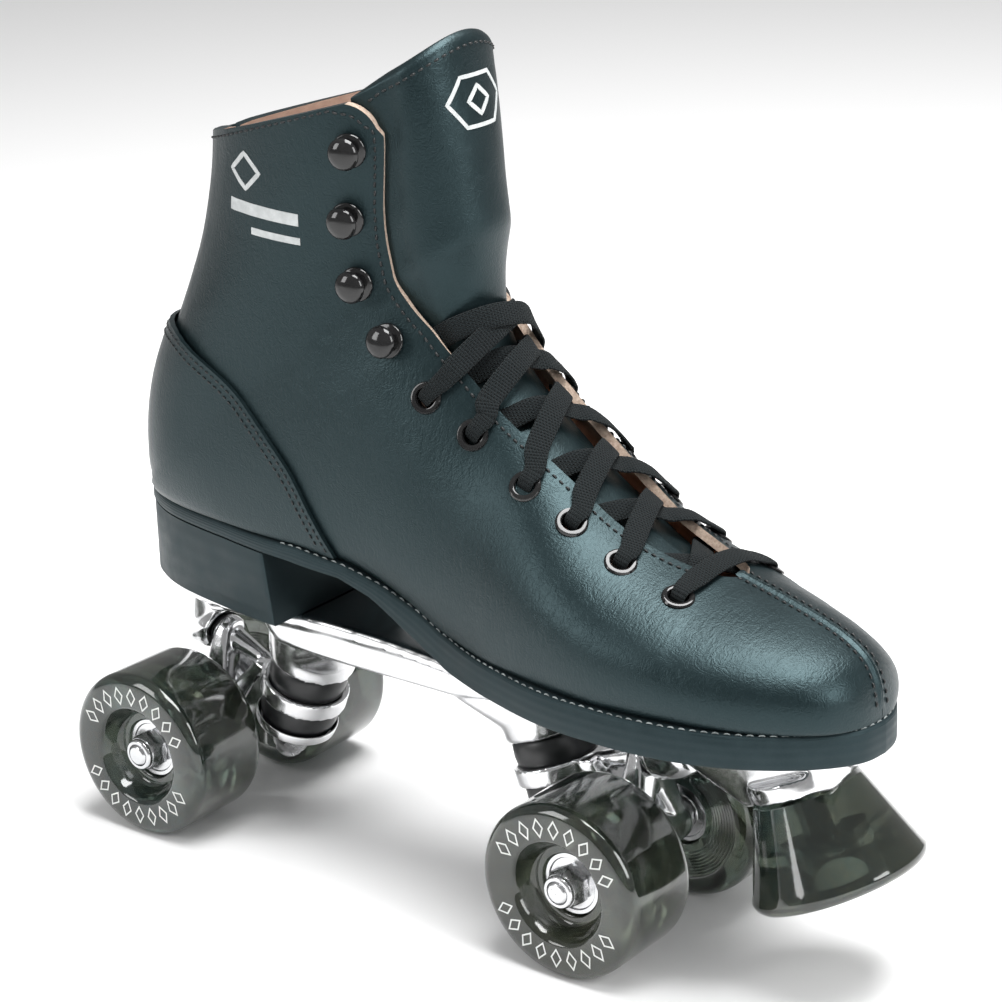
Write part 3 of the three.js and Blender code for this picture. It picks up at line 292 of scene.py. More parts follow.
def leather_finish(name, creases):
    material = finish(name, (0.0035, 0.0072, 0.0082), (0.0058, 0.0105, 0.0118), 45.0, 0.34, 0.45)
    tree = material.node_tree
    bsdf = tree.nodes["Principled BSDF"]
    bsdf.inputs["Specular IOR Level"].default_value = 0.42
    bsdf.inputs["Specular Tint"].default_value = (0.62, 0.93, 1.0, 1)
    skin = place_group(tree, grain, {"Cell": 1100.0, "Creases": creases})
    bump(tree, skin.outputs["Height"], bsdf, 0.00022, 0.35)
    return material


leather = leather_finish("boot_leather", 0.5)
vamp_leather = leather_finish("vamp_leather", 1.0)
lining = finish(
    "suede_lining", (0.52, 0.33, 0.25), (0.66, 0.46, 0.36), 220.0, 0.85, 0.98, depth=0.0003,
    bump_strength=0.8
)
raw_edge = finish(
    "raw_edge", (0.62, 0.5, 0.4), (0.36, 0.25, 0.19), 900.0, 0.8, 0.95, depth=0.0003, bump_strength=0.8
)
thread = finish("waxed_thread", (0.003, 0.004, 0.0045), (0.009, 0.011, 0.012), 700.0, 0.35, 0.6)
# Welt thread: a dark thread whose pale patches are painted glints, highlights laid into its colour.
welt_glint_thread = finish("welt_thread_painted_glints", (0.03, 0.04, 0.04), (0.34, 0.38, 0.38), 420.0, 0.3, 0.6)

# ---- the last, and the two halves of the upper ----
# The boot is built round a last. Each half is one piece of leather with its lining, stitched
# to the other over the toe and down the heel, and open along the front for the lacing.
axle_middles = [(Vector(a) + Vector(b)) / 2 for a, b in (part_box("axle_front"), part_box("axle_rear"))]
middle = (axle_middles[0] + axle_middles[1]) / 2
middle.z = 0
SOLE_Z = 89.5
LEATHER_T = 3
GAP = 0.3


def spot(x, y, z):
    return middle + Vector((x, y, z)) * MM


# Along the foot: height of the line where the upper meets the sole, the middle line of the
# foot, and how much narrower the outer side is.
FEATHER = [
    (-125, 32.5), (-60, 32.5), (-25, 31.8), (-6, 28.5), (9, 24.1), (22, 18.8), (34, 13.7), (46, 11.8),
    (60, 11.5), (200, 11.5)
]
UNDER = [
    (-125, 27), (-60, 27), (-30, 26.2), (-8, 23.5), (5, 18.5), (17, 10.5), (28, 4.5), (38, 0.6),
    (46, 0), (200, 0)
]
MIDDLE = [(-130, 0), (108, 0), (132, -1.2), (146, -2.4), (160, -4), (172, -5.6), (180, -7), (190, -9)]
OUTER = [
    (-130, 1), (40, 1), (75, 0.97), (95, 0.93), (115, 0.88), (135, 0.83), (155, 0.8), (170, 0.83),
    (180, 0.88), (192, 0.9)
]
# Cross-sections, fanning from upright at the toe to nearly level at the top line: foot x and
# rise, front x and z, half width low and at the widest, where it is widest, fullness, half throat.
LAST_FORM = [
    (189.4, 0, 189.4, 11.9, 0.15, 0.15, 0.4, 2, 0.15),
    (188.9, 0, 188.9, 17.5, 6.5, 7, 0.4, 2, 0.15),
    (187.4, 0, 187.4, 23.8, 12, 13, 0.4, 2, 0.15),
    (184.5, 0, 184.5, 28.8, 18, 19.6, 0.4, 2, 0.15),
    (180, 0, 180, 32.3, 24, 26, 0.4, 2, 0.15),
    (172, 0, 172, 35.8, 31, 33.2, 0.4, 2, 0.15),
    (160, 0, 160, 39.1, 38.5, 41, 0.4, 2, 0.15),
    (147, 0, 147, 42, 44, 46.6, 0.4, 2, 0.15),
    (136, 0, 136, 44.4, 47, 49.8, 0.4, 2, 0.15),
    (130, 0, 131, 45.9, 48.4, 51.2, 0.4, 2, 7),
    (120, 0, 122, 48.8, 49.8, 52.6, 0.38, 2, 11.5),
    (107, 0, 110, 53.2, 50.8, 53.2, 0.36, 2, 14.5),
    (92, 0, 97, 60.2, 49.5, 51.8, 0.34, 2, 16.5),
    (76, 0, 85, 69, 46.5, 49, 0.32, 2, 17.2),
    (60, 0, 75, 77.2, 42.5, 45.4, 0.3, 2, 17.8),
    (45, 0, 66, 84.8, 36.8, 41.6, 0.3, 2, 18),
    (28, 0, 58, 91.8, 32.6, 38.6, 0.3, 2, 18.2),
    (10, 0, 51.5, 98, 31.2, 37.2, 0.3, 2.05, 18.6),
    (-8, 0, 46.5, 104.5, 32, 36.8, 0.3, 2.1, 19.2),
    (-28, 0, 42.5, 111, 34, 36.8, 0.28, 2.15, 20),
    (-48, 0, 39.5, 117, 33.6, 36.8, 0.27, 2.2, 20.8),
    (-68, 0, 37.3, 123, 31, 36.6, 0.26, 2.25, 21.4),
    (-84, 0, 35.7, 128.5, 27.4, 36.2, 0.25, 2.25, 21.9),
    (-97, 0, 34.4, 134, 21.6, 35.8, 0.25, 2.25, 22.3),
    (-106.5, 0, 33.4, 139.5, 13.4, 35.4, 0.25, 2.25, 22.6),
    (-111.2, 1.2, 32.6, 144.5, 0.15, 35.2, 0.24, 2.25, 22.8),
    (-112.3, 13, 31.9, 150, 0.15, 35, 0.25, 2.25, 23),
    (-111.6, 26, 31.1, 155.5, 0.15, 34.8, 0.27, 2.25, 23.3),
    (-109, 39, 30.4, 161, 0.15, 34.6, 0.3, 2.25, 23.6),
    (-104.6, 51.5, 29.7, 166.5, 0.15, 34.4, 0.34, 2.25, 23.9),
    (-98.6, 64.5, 28.9, 172, 0.15, 34.2, 0.38, 2.25, 24.1),
    (-92.6, 78, 28.1, 177, 0.15, 34.2, 0.41, 2.25, 24.3),
    (-86.8, 92, 27.3, 182, 0.15, 34.4, 0.43, 2.25, 24.5),
    (-82.4, 106.5, 26.4, 186.5, 0.15, 34.6, 0.44, 2.25, 24.7),
    (-79.4, 120, 25.7, 190.5, 0.15, 34.8, 0.45, 2.25, 24.9),
    (-77.6, 133, 25, 194, 0.15, 35, 0.45, 2.25, 25),
]
TOP = len(LAST_FORM) - 1


def along(table, x):
    for (x0, v0), (x1, v1) in zip(table, table[1:]):
        if x <= x1:
            return v0 + (v1 - v0) * (x - x0) / (x1 - x0)
    return table[-1][1]


def section(s, side):
    s = min(max(s, 0), TOP)
    i = min(int(s), TOP - 1)
    f = s - i
    a, b, c, d = (LAST_FORM[min(max(k, 0), TOP)] for k in (i - 1, i, i + 1, i + 2))
    n = [
        0.5 * (
            2 * q + (r - p) * f + (2 * p - 5 * q + 4 * r - u) * f * f
            + (3 * q - p - 3 * r + u) * f * f * f
        )
        for p, q, r, u in zip(a, b, c, d)
    ]
    k = along(OUTER, n[0]) if side > 0 else 1
    slope = min(max((n[0] - 25) / 70, 0), 1) if side > 0 else 0
    return {
        "foot": (n[0], SOLE_Z + along(FEATHER, n[0]) + GAP + n[1]),
        "front": (n[2], SOLE_Z + n[3]),
        "low": max(n[4] * k, 0.15),
        "wide": max(n[5] * k, 0.15),
        "belly": n[6] - slope * 0.16,
        "full": n[7] - slope * 0.6,
        "throat": max(n[8], 0.15),
        "middle": along(MIDDLE, n[0]),
    }


def on_section(c, h, w, side):
    (x0, z0), (x1, z1) = c["foot"], c["front"]
    return Vector((x0 + (x1 - x0) * h, c["middle"] + side * w, z0 + (z1 - z0) * h))


def form_point(s, b, side):
    c = section(s, side)
    if b <= 1:
        q = b * math.pi / 2
        return on_section(
            c, c["belly"] * (1 - math.cos(q)), c["low"] + (c["wide"] - c["low"]) * math.sin(q), side
        )
    last = math.acos(min(c["throat"] / c["wide"], 1) ** (c["full"] / 2))
    a = (b - 1) * last
    h = c["belly"] + (1 - c["belly"]) * math.sin(a) ** (2 / c["full"])
    return on_section(c, h, c["wide"] * math.cos(a) ** (2 / c["full"]), side)


def front_point(s, w, side, out=0.0):
    def raw(ss, ww):
        c = section(ss, side)
        u = min(abs(ww) / c["wide"], 1)
        return on_section(
            c, c["belly"] + (1 - c["belly"]) * (1 - u ** c["full"]) ** (1 / c["full"]), 0, 1
        ) + Vector((0, side * ww, 0))

    n = (raw(s + 0.05, w) - raw(s - 0.05, w)).cross(raw(s, w + 0.4) - raw(s, w - 0.4)).normalized()
    if n.x * 0.6 + n.z * 0.8 < 0:
        n.negate()
    return (raw(s, w) + n * out, n)


def station_where(axis, value, w, low, high, side):
    rises = front_point(high, w, side)[0][axis] > front_point(low, w, side)[0][axis]
    for _ in range(40):
        mid = (low + high) / 2
        if (front_point(mid, w, side)[0][axis] > value) == rises:
            high = mid
        else:
            low = mid
    return (low + high) / 2


def mesh_piece(name, points, faces, uvs=None):
    mesh = bpy.data.meshes.new(name)
    mesh.from_pydata([middle + Vector(p) * MM for p in points], [], faces)
    if uvs:
        layer = mesh.uv_layers.new(name="flat")
        for loop in mesh.loops:
            layer.data[loop.index].uv = uvs[loop.vertex_index]
    piece = bpy.data.objects.new(name, mesh)
    bpy.context.scene.collection.objects.link(piece)
    return piece


def only(piece):
    bpy.ops.object.select_all(action="DESELECT")
    piece.select_set(True)
    bpy.context.view_layer.objects.active = piece


def modify(piece, kind, **settings):
    only(piece)
    modifier = piece.modifiers.new(kind.lower(), kind)
    for label, value in settings.items():
        setattr(modifier, label, value)
    bpy.ops.object.modifier_apply(modifier=modifier.name)


def smooth(piece, angle=35):
    only(piece)
    bpy.ops.object.shade_smooth_by_angle(angle=math.radians(angle))


def outwards(piece):
    only(piece)
    bpy.ops.object.mode_set(mode="EDIT")
    bpy.ops.mesh.select_all(action="SELECT")
    bpy.ops.mesh.remove_doubles(threshold=0.00002)
    bpy.ops.mesh.normals_make_consistent(inside=False)
    bpy.ops.object.mode_set(mode="OBJECT")


def settle(piece, body, slot, *nodes):
    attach(piece, body)
    if nodes:
        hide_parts(*nodes)


def sheet_faces(rows, columns):
    return [
        (i * columns + j, (i + 1) * columns + j, (i + 1) * columns + j + 1, i * columns + j + 1)
        for i in range(rows - 1) for j in range(columns - 1)
    ]


EYELET_R = 3.5
EYELET_X = [27.5, 45, 67.2, 85.6, 104.4, 126]
EYELET_W = [28, 26.2, 28, 28, 27.8, 26.6]
eyelet_s = {
    side: [station_where(0, x, w, 8, 24, side) for x, w in zip(EYELET_X, EYELET_W)] for side in (-1, 1)
}

CORNER_R = 12


def throat(s):
    return section(s, -1)["throat"]


def corner(side):
    """Centre, normal, and the ways to the facing edge and to the top, of a half's rounded corner."""
    edge = front_point(TOP, throat(TOP), side)[0]
    w, s = throat(TOP), TOP
    while (front_point(TOP, w, side)[0] - edge).length < CORNER_R:
        w += 0.05
    while (front_point(s, w, side)[0] - front_point(TOP, w, side)[0]).length < CORNER_R:
        s -= 0.01
    c, n = front_point(s, w, side)
    u = front_point(s, throat(s), side)[0] - c
    reach = u.length
    u = (u - n * u.dot(n)).normalized()
    t = u.cross(n)
    if t.z < 0:
        t.negate()
    return s, c, n, u, t, reach


# Across a half: close rows at the feather and at the facing edge, where the light turns.
ACROSS = [0, 0.25, 0.55, 0.85, 1.15, 1.35, 1.5, 1.62, 1.72, 1.8, 1.87, 1.93, 1.97, 2]
ROW_STEPS = 3
halves = {}
for hand, side in (("right", -1), ("left", 1)):
    points, uvs = [], []
    rows = TOP * ROW_STEPS + 1
    for i in range(rows):
        s = i / ROW_STEPS
        for b in ACROSS:
            points.append(form_point(s, b, side))
            uvs.append((s / TOP, b / 2))
    half = mesh_piece("boot_upper_" + hand, points, sheet_faces(rows, len(ACROSS)), uvs)
    outwards(half)
    if half.data.polygons[len(half.data.polygons) // 2].normal.y * side < 0:
        half.data.flip_normals()
    modify(half, "SUBSURF", levels=1, render_levels=1)
    for look in (vamp_leather, lining, raw_edge):
        half.data.materials.append(look)
    modify(
        half, "SOLIDIFY", thickness=LEATHER_T * MM, offset=-1, material_offset=1, material_offset_rim=2
    )
    for face in half.data.polygons:
        low = face.center.z < middle.z + (SOLE_Z + 40) * MM
        if face.material_index == 2 and (abs(face.normal.z) > 0.8 or low):
            face.material_index = 0
    for i, w in enumerate(EYELET_W):
        at, n = front_point(eyelet_s[side][i], w, side)
        bpy.ops.object.select_all(action="DESELECT")
        bpy.ops.mesh.primitive_cylinder_add(
            vertices=32, radius=EYELET_R * MM, depth=0.016, location=middle + at * MM
        )
        punch = bpy.context.object
        punch.rotation_euler = n.to_track_quat("Z", "Y").to_euler()
        modify(half, "BOOLEAN", object=punch, operation="DIFFERENCE", solver="FAST")
        bpy.data.objects.remove(punch)
    s, c, n, u, t, reach = corner(side)
    arc = [
        (CORNER_R * math.cos(math.radians(q * 6)), CORNER_R * math.sin(math.radians(q * 6)))
        for q in range(16)
    ]
    outline = arc + [
        (0, 2.2 * CORNER_R), (2.2 * CORNER_R, 2.2 * CORNER_R), (2.2 * CORNER_R, -9), (reach + 0.6, -9)
    ]
    m = len(outline)
    ends = [c + u * p + t * q + n * d for d in (-14, 14) for p, q in outline]
    walls = [(k, (k + 1) % m, (k + 1) % m + m, k + m) for k in range(m)]
    trim = mesh_piece("corner_trim", ends, [tuple(range(m)), tuple(range(2 * m - 1, m - 1, -1))] + walls)
    outwards(trim)
    for look in (vamp_leather, lining, raw_edge):
        trim.data.materials.append(look)
    for face in trim.data.polygons:
        face.material_index = 2
    modify(half, "BOOLEAN", object=trim, operation="DIFFERENCE", solver="EXACT")
    bpy.data.objects.remove(trim)
    smooth(half, 50)
    settle(half, "boot_and_plate", "boot_leather", "upper_" + hand)
    halves[side] = half

# ---- heel counter and back stay ----
# A moulded leather counter is laid round the heel over the two halves, and a narrow stay
# covers the seam above it up to the top line.
def smooth_line(points, steps=6):
    out = []
    for i in range(len(points) - 1):
        a, b, c, d = (Vector(points[min(max(k, 0), len(points) - 1)]) for k in (i - 1, i, i + 1, i + 2))
        for k in range(steps):
            f = k / steps
            out.append(0.5 * (
                2 * b + (c - a) * f + (2 * a - 5 * b + 4 * c - d) * f * f
                + (3 * b - a - 3 * c + d) * f ** 3
            ))
    return out + [Vector(points[-1])]


def overlay(name, start, outline, half_width):
    """A leather layer on the form from section "start" up, kept where the side outline covers it."""
    columns = [(-1, 2 - k / 8) for k in range(17)] + [(1, k / 8) for k in range(17)]
    rows = (TOP - start) * 4 + 1
    points = [form_point(start + i / 4, b, side) for i in range(rows) for side, b in columns]
    layer = mesh_piece(name, points, sheet_faces(rows, len(columns)))
    if layer.data.polygons[len(columns) // 4].normal.y > 0:
        layer.data.flip_normals()
    modify(layer, "SOLIDIFY", thickness=1.6 * MM, offset=1, use_rim=True)
    n = len(outline)
    ends = [(p[0], y, p[1]) for y in (-half_width, half_width) for p in outline]
    walls = [(k, (k + 1) % n, (k + 1) % n + n, k + n) for k in range(n)]
    die = mesh_piece("die", ends, [tuple(range(n)), tuple(range(2 * n - 1, n - 1, -1))] + walls)
    outwards(die)
    modify(layer, "BOOLEAN", object=die, operation="INTERSECT", solver="EXACT")
    bpy.data.objects.remove(die)
    layer.data.materials.clear()
    layer.data.materials.append(leather)
    smooth(layer, 50)
    return layer


HEEL_TOP = SOLE_Z + along(FEATHER, -100)
COUNTER_EDGE = [
    (-118, 60), (-104, 64), (-90, 67), (-78, 65.8), (-66, 59.6), (-53, 52), (-40, 40.8), (-26, 27),
    (-18, 14.3), (-11, 2), (-9.6, -2)
]
counter_seam = [Vector((x, z + HEEL_TOP)) for x, z in smooth_line(COUNTER_EDGE)]
counter_foot = [(x, SOLE_Z + along(FEATHER, x) + 0.6) for x in (-12, -25, -40, -60, -90, -124)]
kept = [(p.x, p.y) for p in counter_seam if p.y > SOLE_Z + along(FEATHER, p.x) + 0.8]
counter = overlay("heel_counter_leather", 15, [(-124, HEEL_TOP + 59)] + kept + counter_foot, 70)
settle(counter, "boot_and_plate", "boot_leather", "heel_counter")

stay_line = [(-124, 61.5), (-104, 65.6), (-88, 69), (-58, 136), (-90, 130), (-124, 130)]
stay = overlay("back_stay_leather", 19, [(x, z + HEEL_TOP) for x, z in stay_line], 7.5)
settle(stay, "boot_and_plate", "boot_leather", "back_stay")

# ---- tongue ----
# A padded leather tongue lies under the lacing and stands up past the top line, domed
# forwards between the facings.
LACED = 19


def tongue_height(s, w):
    rise = min(max((s - LACED) / 6, 0), 1)
    f = min(w / (section(s, -1)["throat"] - 0.4), 1)
    return -(LEATHER_T + 3.8) * (1 - rise) + (5 - (LEATHER_T + 5.9) * f ** 7) * rise


def tongue_rows():
    s = 10.3
    while s < TOP:
        yield s, 0
        s += 0.6
    for k in (0, 0.2, 0.4, 0.6, 0.75, 0.88, 0.96, 1):
        yield TOP, k


ACROSS_TONGUE = [-1, -0.985, -0.95, -0.9, -0.83, -0.74, -0.6, -0.45, -0.3, -0.15]
ACROSS_TONGUE = ACROSS_TONGUE + [0] + [-k for k in reversed(ACROSS_TONGUE)]
TONGUE_LEAN = Vector((-0.12, 0, 1))
TONGUE_RISE = 14
TONGUE_FADE = 31
outer, inner = [], []
for s, k in tongue_rows():
    half_width = min(30, 12 + (s - 10.3) * 5)
    snug = min(section(s, -1)["throat"] - 0.4, half_width - 3)
    for share in ACROSS_TONGUE:
        w = share * half_width if abs(share) > 0.98 else share * snug
        pad = 3 + 3 * min(max((s - 20) / 8, 0), 1) * math.cos((w / half_width) * 1.35)
        side = -1 if w < 0 else 1
        lift = TONGUE_LEAN * (TONGUE_RISE * k * (1 - (w / TONGUE_FADE) ** 2))
        closing = 0 if k < 0.7 else (k - 0.7) / 0.3
        top_out = tongue_height(s, abs(w)) - 0.45 * pad * closing ** 2
        low_out = tongue_height(s, abs(w)) - pad * (1 - 0.45 * closing ** 2)
        outer.append(front_point(s, abs(w), side, top_out)[0] + lift)
        inner.append(front_point(s, abs(w), side, low_out)[0] + lift)
columns = len(ACROSS_TONGUE)
rows = len(outer) // columns
count = len(outer)
faces = sheet_faces(rows, columns)
faces += [tuple(count + v for v in reversed(f)) for f in faces]
rim = [j for j in range(columns)] + [i * columns + columns - 1 for i in range(1, rows)]
rim += [
    (rows - 1) * columns + j for j in range(columns - 2, -1, -1)
] + [i * columns for i in range(rows - 2, 0, -1)]
faces += [
    (rim[k], rim[(k + 1) % len(rim)], rim[(k + 1) % len(rim)] + count, rim[k] + count)
    for k in range(len(rim))
]
tongue = mesh_piece("padded_tongue", outer + inner, faces)
outwards(tongue)
modify(tongue, "BEVEL", width=0.9 * MM, segments=2, limit_method="ANGLE", angle_limit=math.radians(50))
modify(tongue, "SUBSURF", levels=1, render_levels=1)
tongue.data.materials.append(leather)
smooth(tongue, 60)
settle(tongue, "boot_and_plate", "boot_leather", "tongue")

# ---- insole, outsole and heel block ----
# A leather-board insole inside; a rubber outsole with a ribbed edge and a stitched welt; a
# rubber heel block whose breast is cut across on a slight slant.
HALF_SOLE = [
    (-117.5, 0.2), (-116.4, 8), (-113, 14.5), (-108, 19.5), (-99, 25), (-90, 28.6), (-79, 31.4),
    (-65, 34),
    (-50, 36.4), (-36, 37.8), (-22, 37.6), (-8, 35.8), (8, 34), (22, 33.6), (34, 35.2), (45, 38.8),
    (57, 43.6),
    (71, 48.2), (85, 52), (98, 53.8), (112, 54), (126, 52.8), (140, 49.6), (152, 44.8), (163, 38.6),
    (173, 31),
    (180.5, 23.4), (186, 16), (189.6, 8.6), (190.8, 0.2),
]
rubber = finish("sole_rubber", (0.006, 0.01, 0.0115), (0.012, 0.018, 0.02), 90.0, 0.5, 0.68, depth=0.0002)
# The sole's edge is trimmed with fine lines that run along it.
edge_rubber = finish(
    "sole_edge", (0.008, 0.014, 0.016), (0.016, 0.025, 0.028), 120.0, 0.42, 0.6, depth=0.0002
)
for look in (rubber, edge_rubber):
    look.node_tree.nodes["Principled BSDF"].inputs["Specular IOR Level"].default_value = 0.28
    look.node_tree.nodes["Principled BSDF"].inputs["Specular Tint"].default_value = (0.65, 0.93, 1.0, 1)
tree = edge_rubber.node_tree
uv = tree.nodes.new("ShaderNodeUVMap").outputs[0]
split = tree.nodes.new("ShaderNodeSeparateXYZ")
tree.links.new(uv, split.inputs[0])
lines = maths(tree, "SINE", maths(tree, "MULTIPLY", split.outputs[1], 2 * math.pi * 9))
bump(tree, lines, tree.nodes["Principled BSDF"], 0.0001, 0.35)
board = finish("insole_board", (0.3, 0.22, 0.16), (0.4, 0.3, 0.22), 150.0, 0.75, 0.95)


def sole_loop(inset):
    line = smooth_line(HALF_SOLE, 4)
    out = []
    for i, p in enumerate(line):
        a, b = line[max(i - 1, 0)], line[min(i + 1, len(line) - 1)]
        t = (b - a).normalized() if 0 < i < len(line) - 1 else Vector((0, 1 if i == 0 else -1))
        out.append((p.x + t.y * inset, max(p.y - t.x * inset, 0.2)))
    near = [(x, along(MIDDLE, x) - w) for x, w in out]
    far = [(x, along(MIDDLE, x) + w * along(OUTER, x)) for x, w in reversed(out)]
    return near + far


def sole_layer(name, levels, look, edge_look):
    """Rings of the sole's outline, each inset and at its own height, closed across top and bottom."""
    loops = [[(x, y, height(x)) for x, y in sole_loop(inset)] for inset, height in levels]
    n = len(loops[0])
    points = [p for loop in loops for p in loop]
    uvs = [(k / 20, v / (len(levels) - 1)) for v in range(len(levels)) for k in range(n)]
    faces = [
        (v * n + k, v * n + (k + 1) % n, (v + 1) * n + (k + 1) % n, (v + 1) * n + k)
        for v in range(len(levels) - 1) for k in range(n)
    ]
    walls = len(faces)
    half = n // 2
    for base, flip in ((0, True), ((len(levels) - 1) * n, False)):
        for k in range(half - 1):
            quad = (base + k, base + k + 1, base + n - 2 - k, base + n - 1 - k)
            faces.append(tuple(reversed(quad)) if flip else quad)
    layer = mesh_piece(name, points, faces, uvs)
    layer.data.materials.append(look)
    layer.data.materials.append(edge_look)
    for i, face in enumerate(layer.data.polygons):
        face.material_index = 1 if i < walls else 0
    outwards(layer)
    smooth(layer, 40)
    return layer


def above(x):
    return SOLE_Z + along(FEATHER, x)


def below(x):
    return SOLE_Z + along(UNDER, x)


outsole = sole_layer(
    "outsole_rubber",
    [(1.2, below), (0.3, lambda x: below(x) + 0.3), (0, lambda x: below(x) + 1.0),
     (0, lambda x: (below(x) + above(x)) / 2),
     (0.1, lambda x: above(x) - 1.4), (0.5, lambda x: above(x) - 0.5), (1.2, above)],
    rubber, edge_rubber,
)
settle(outsole, "boot_and_plate", "sole_rubber", "outsole")

heel = sole_layer(
    "heel_block_rubber",
    [(0.8, lambda x: SOLE_Z), (0.4, lambda x: SOLE_Z + 0.5), (0.4, lambda x: below(min(x, -30)) - GAP)],
    rubber, edge_rubber,
)
only(heel)
bpy.ops.object.mode_set(mode="EDIT")
bpy.ops.mesh.select_all(action="SELECT")
bpy.ops.mesh.bisect(
    plane_co=spot(-36.5, 0, SOLE_Z), plane_no=(1, 0, 0.16), clear_outer=True, use_fill=True
)
bpy.ops.object.mode_set(mode="OBJECT")
modify(heel, "BEVEL", width=0.5 * MM, segments=2, limit_method="ANGLE", angle_limit=math.radians(50))
smooth(heel, 40)
settle(heel, "boot_and_plate", "sole_rubber", "heel_block")
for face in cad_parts["insole"].material_slots:
    face.material = board
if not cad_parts["insole"].material_slots:
    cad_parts["insole"].data.materials.append(board)

# ---- plate ----
# One polished alloy casting under the whole sole: a thin flange, a boss for each kingpin, a
# socket for each pivot, two ribs between the bosses and a nose for the stop.
PLATE_TOP = SOLE_Z - GAP
PLATE_T = 5
TILT = math.radians(20)
AXLE_X = (axle_middles[0].x - axle_middles[1].x) / 2 / MM
AXLE_Z = axle_middles[0].z / MM
RING = Vector((AXLE_X - 36, 0, AXLE_Z + 16.6))
DOWN = Vector((math.sin(TILT), 0, -math.cos(TILT)))
STEER = Vector((math.cos(TILT), 0, math.sin(TILT)))
UP = Vector((0, 0, 1))
ACROSS_Y = Vector((0, 1, 0))
KINGPIN_R = 4.7


def polished(name, colour, second, smooth_to, rough_to, depth=0.00003):
    material = finish(name, colour, second, 25.0, smooth_to, rough_to, 1.0, depth, 0.25)
    return material


bright_alloy = polished("polished_alloy", (0.68, 0.69, 0.7), (0.8, 0.8, 0.81), 0.13, 0.24)
plated = polished("chrome_plate", (0.8, 0.81, 0.82), (0.88, 0.88, 0.89), 0.04, 0.1)
zinc = polished("zinc_steel", (0.55, 0.56, 0.57), (0.66, 0.66, 0.67), 0.16, 0.3, 0.00005)


def turned_round(p, rear):
    return Vector((-p[0], -p[1], p[2])) if rear else Vector(p)


def nothing_selected():
    if bpy.context.object and bpy.context.object.mode != "OBJECT":
        bpy.ops.object.mode_set(mode="OBJECT")
    bpy.ops.object.select_all(action="DESELECT")


def lay_down(piece, foot, axis):
    """Stand a piece made at the origin, along Z, on its foot along its axis, and fix it there."""
    stood_on_axis = Vector(axis).to_track_quat("Z", "Y").to_matrix().to_4x4()
    piece.matrix_world = Matrix.Translation(middle + Vector(foot) * MM) @ stood_on_axis
    only(piece)
    bpy.ops.object.transform_apply(location=True, rotation=True, scale=True)


def turn(name, steps, foot, axis, look, sides=64, edge=0.25):
    """A turned piece: a circle drawn out step by step, each step a radius and a height."""
    nothing_selected()
    r, h = steps[0]
    bpy.ops.mesh.primitive_circle_add(
        vertices=sides, radius=max(r, 0.02) * MM, fill_type="NOTHING", location=(0, 0, 0)
    )
    piece = bpy.context.object
    piece.name = name
    bpy.ops.object.mode_set(mode="EDIT")
    bpy.ops.mesh.select_all(action="SELECT")
    bpy.ops.transform.translate(value=(0, 0, h * MM))
    for r2, h2 in steps[1:]:
        bpy.ops.mesh.extrude_edges_move(TRANSFORM_OT_translate={"value": (0, 0, (h2 - h) * MM)})
        k = max(r2, 0.02) / max(r, 0.02)
        bpy.ops.transform.resize(value=(k, k, 1), center_override=(0, 0, h2 * MM))
        r, h = r2, h2
    bpy.ops.mesh.select_all(action="SELECT")
    bpy.ops.mesh.remove_doubles(threshold=0.00005)
    bpy.ops.mesh.normals_make_consistent(inside=False)
    bpy.ops.object.mode_set(mode="OBJECT")
    lay_down(piece, foot, axis)
    if edge:
        modify(
            piece, "BEVEL", width=edge * MM, segments=2, limit_method="ANGLE",
            angle_limit=math.radians(32)
        )
    piece.data.materials.append(look)
    smooth(piece, 40)
    return piece


def disc(place, r, thick, axis, rear=False, sides=24):
    """A short round slug, used as one end of a cast web."""
    nothing_selected()
    bpy.ops.mesh.primitive_cylinder_add(
        vertices=sides, radius=r * MM, depth=thick * MM, location=(0, 0, 0)
    )
    slug = bpy.context.object
    lay_down(slug, turned_round(place, rear), turned_round(axis, rear))
    return slug


def block(x0, x1, y0, y1, z0, z1):
    nothing_selected()
    bpy.ops.mesh.primitive_cube_add(size=1, location=spot((x0 + x1) / 2, (y0 + y1) / 2, (z0 + z1) / 2))
    brick = bpy.context.object
    brick.scale = ((x1 - x0) * MM, (y1 - y0) * MM, (z1 - z0) * MM)
    bpy.ops.object.transform_apply(location=True, rotation=True, scale=True)
    return brick


def joined(parts, name):
    nothing_selected()
    for part in parts:
        part.select_set(True)
    bpy.context.view_layer.objects.active = parts[0]
    bpy.ops.object.join()
    parts[0].name = name
    return parts[0]


def web(*ends):
    """A cast web: the tight wrap round its end slugs."""
    wrap = joined(list(ends), "web")
    bpy.ops.object.mode_set(mode="EDIT")
    bpy.ops.mesh.select_all(action="SELECT")
    bpy.ops.mesh.convex_hull()
    bpy.ops.object.mode_set(mode="OBJECT")
    return wrap


def cast(name, parts, grain_mm, rounds, look):
    """Parts flow together as one casting, with every inside corner filleted, and are polished."""
    casting = joined(parts, name)
    modify(casting, "REMESH", mode="VOXEL", voxel_size=grain_mm * MM)
    modify(casting, "SMOOTH", factor=0.5, iterations=rounds)
    casting.data.materials.clear()
    casting.data.materials.append(look)
    return casting


def drill(piece, r, h0, h1, foot, axis, sides=40):
    start = Vector(foot) + Vector(axis).normalized() * ((h0 + h1) / 2)
    bit = disc(start, r, h1 - h0, axis, False, sides)
    modify(piece, "BOOLEAN", object=bit, operation="DIFFERENCE", solver="EXACT")
    bpy.data.objects.remove(bit)


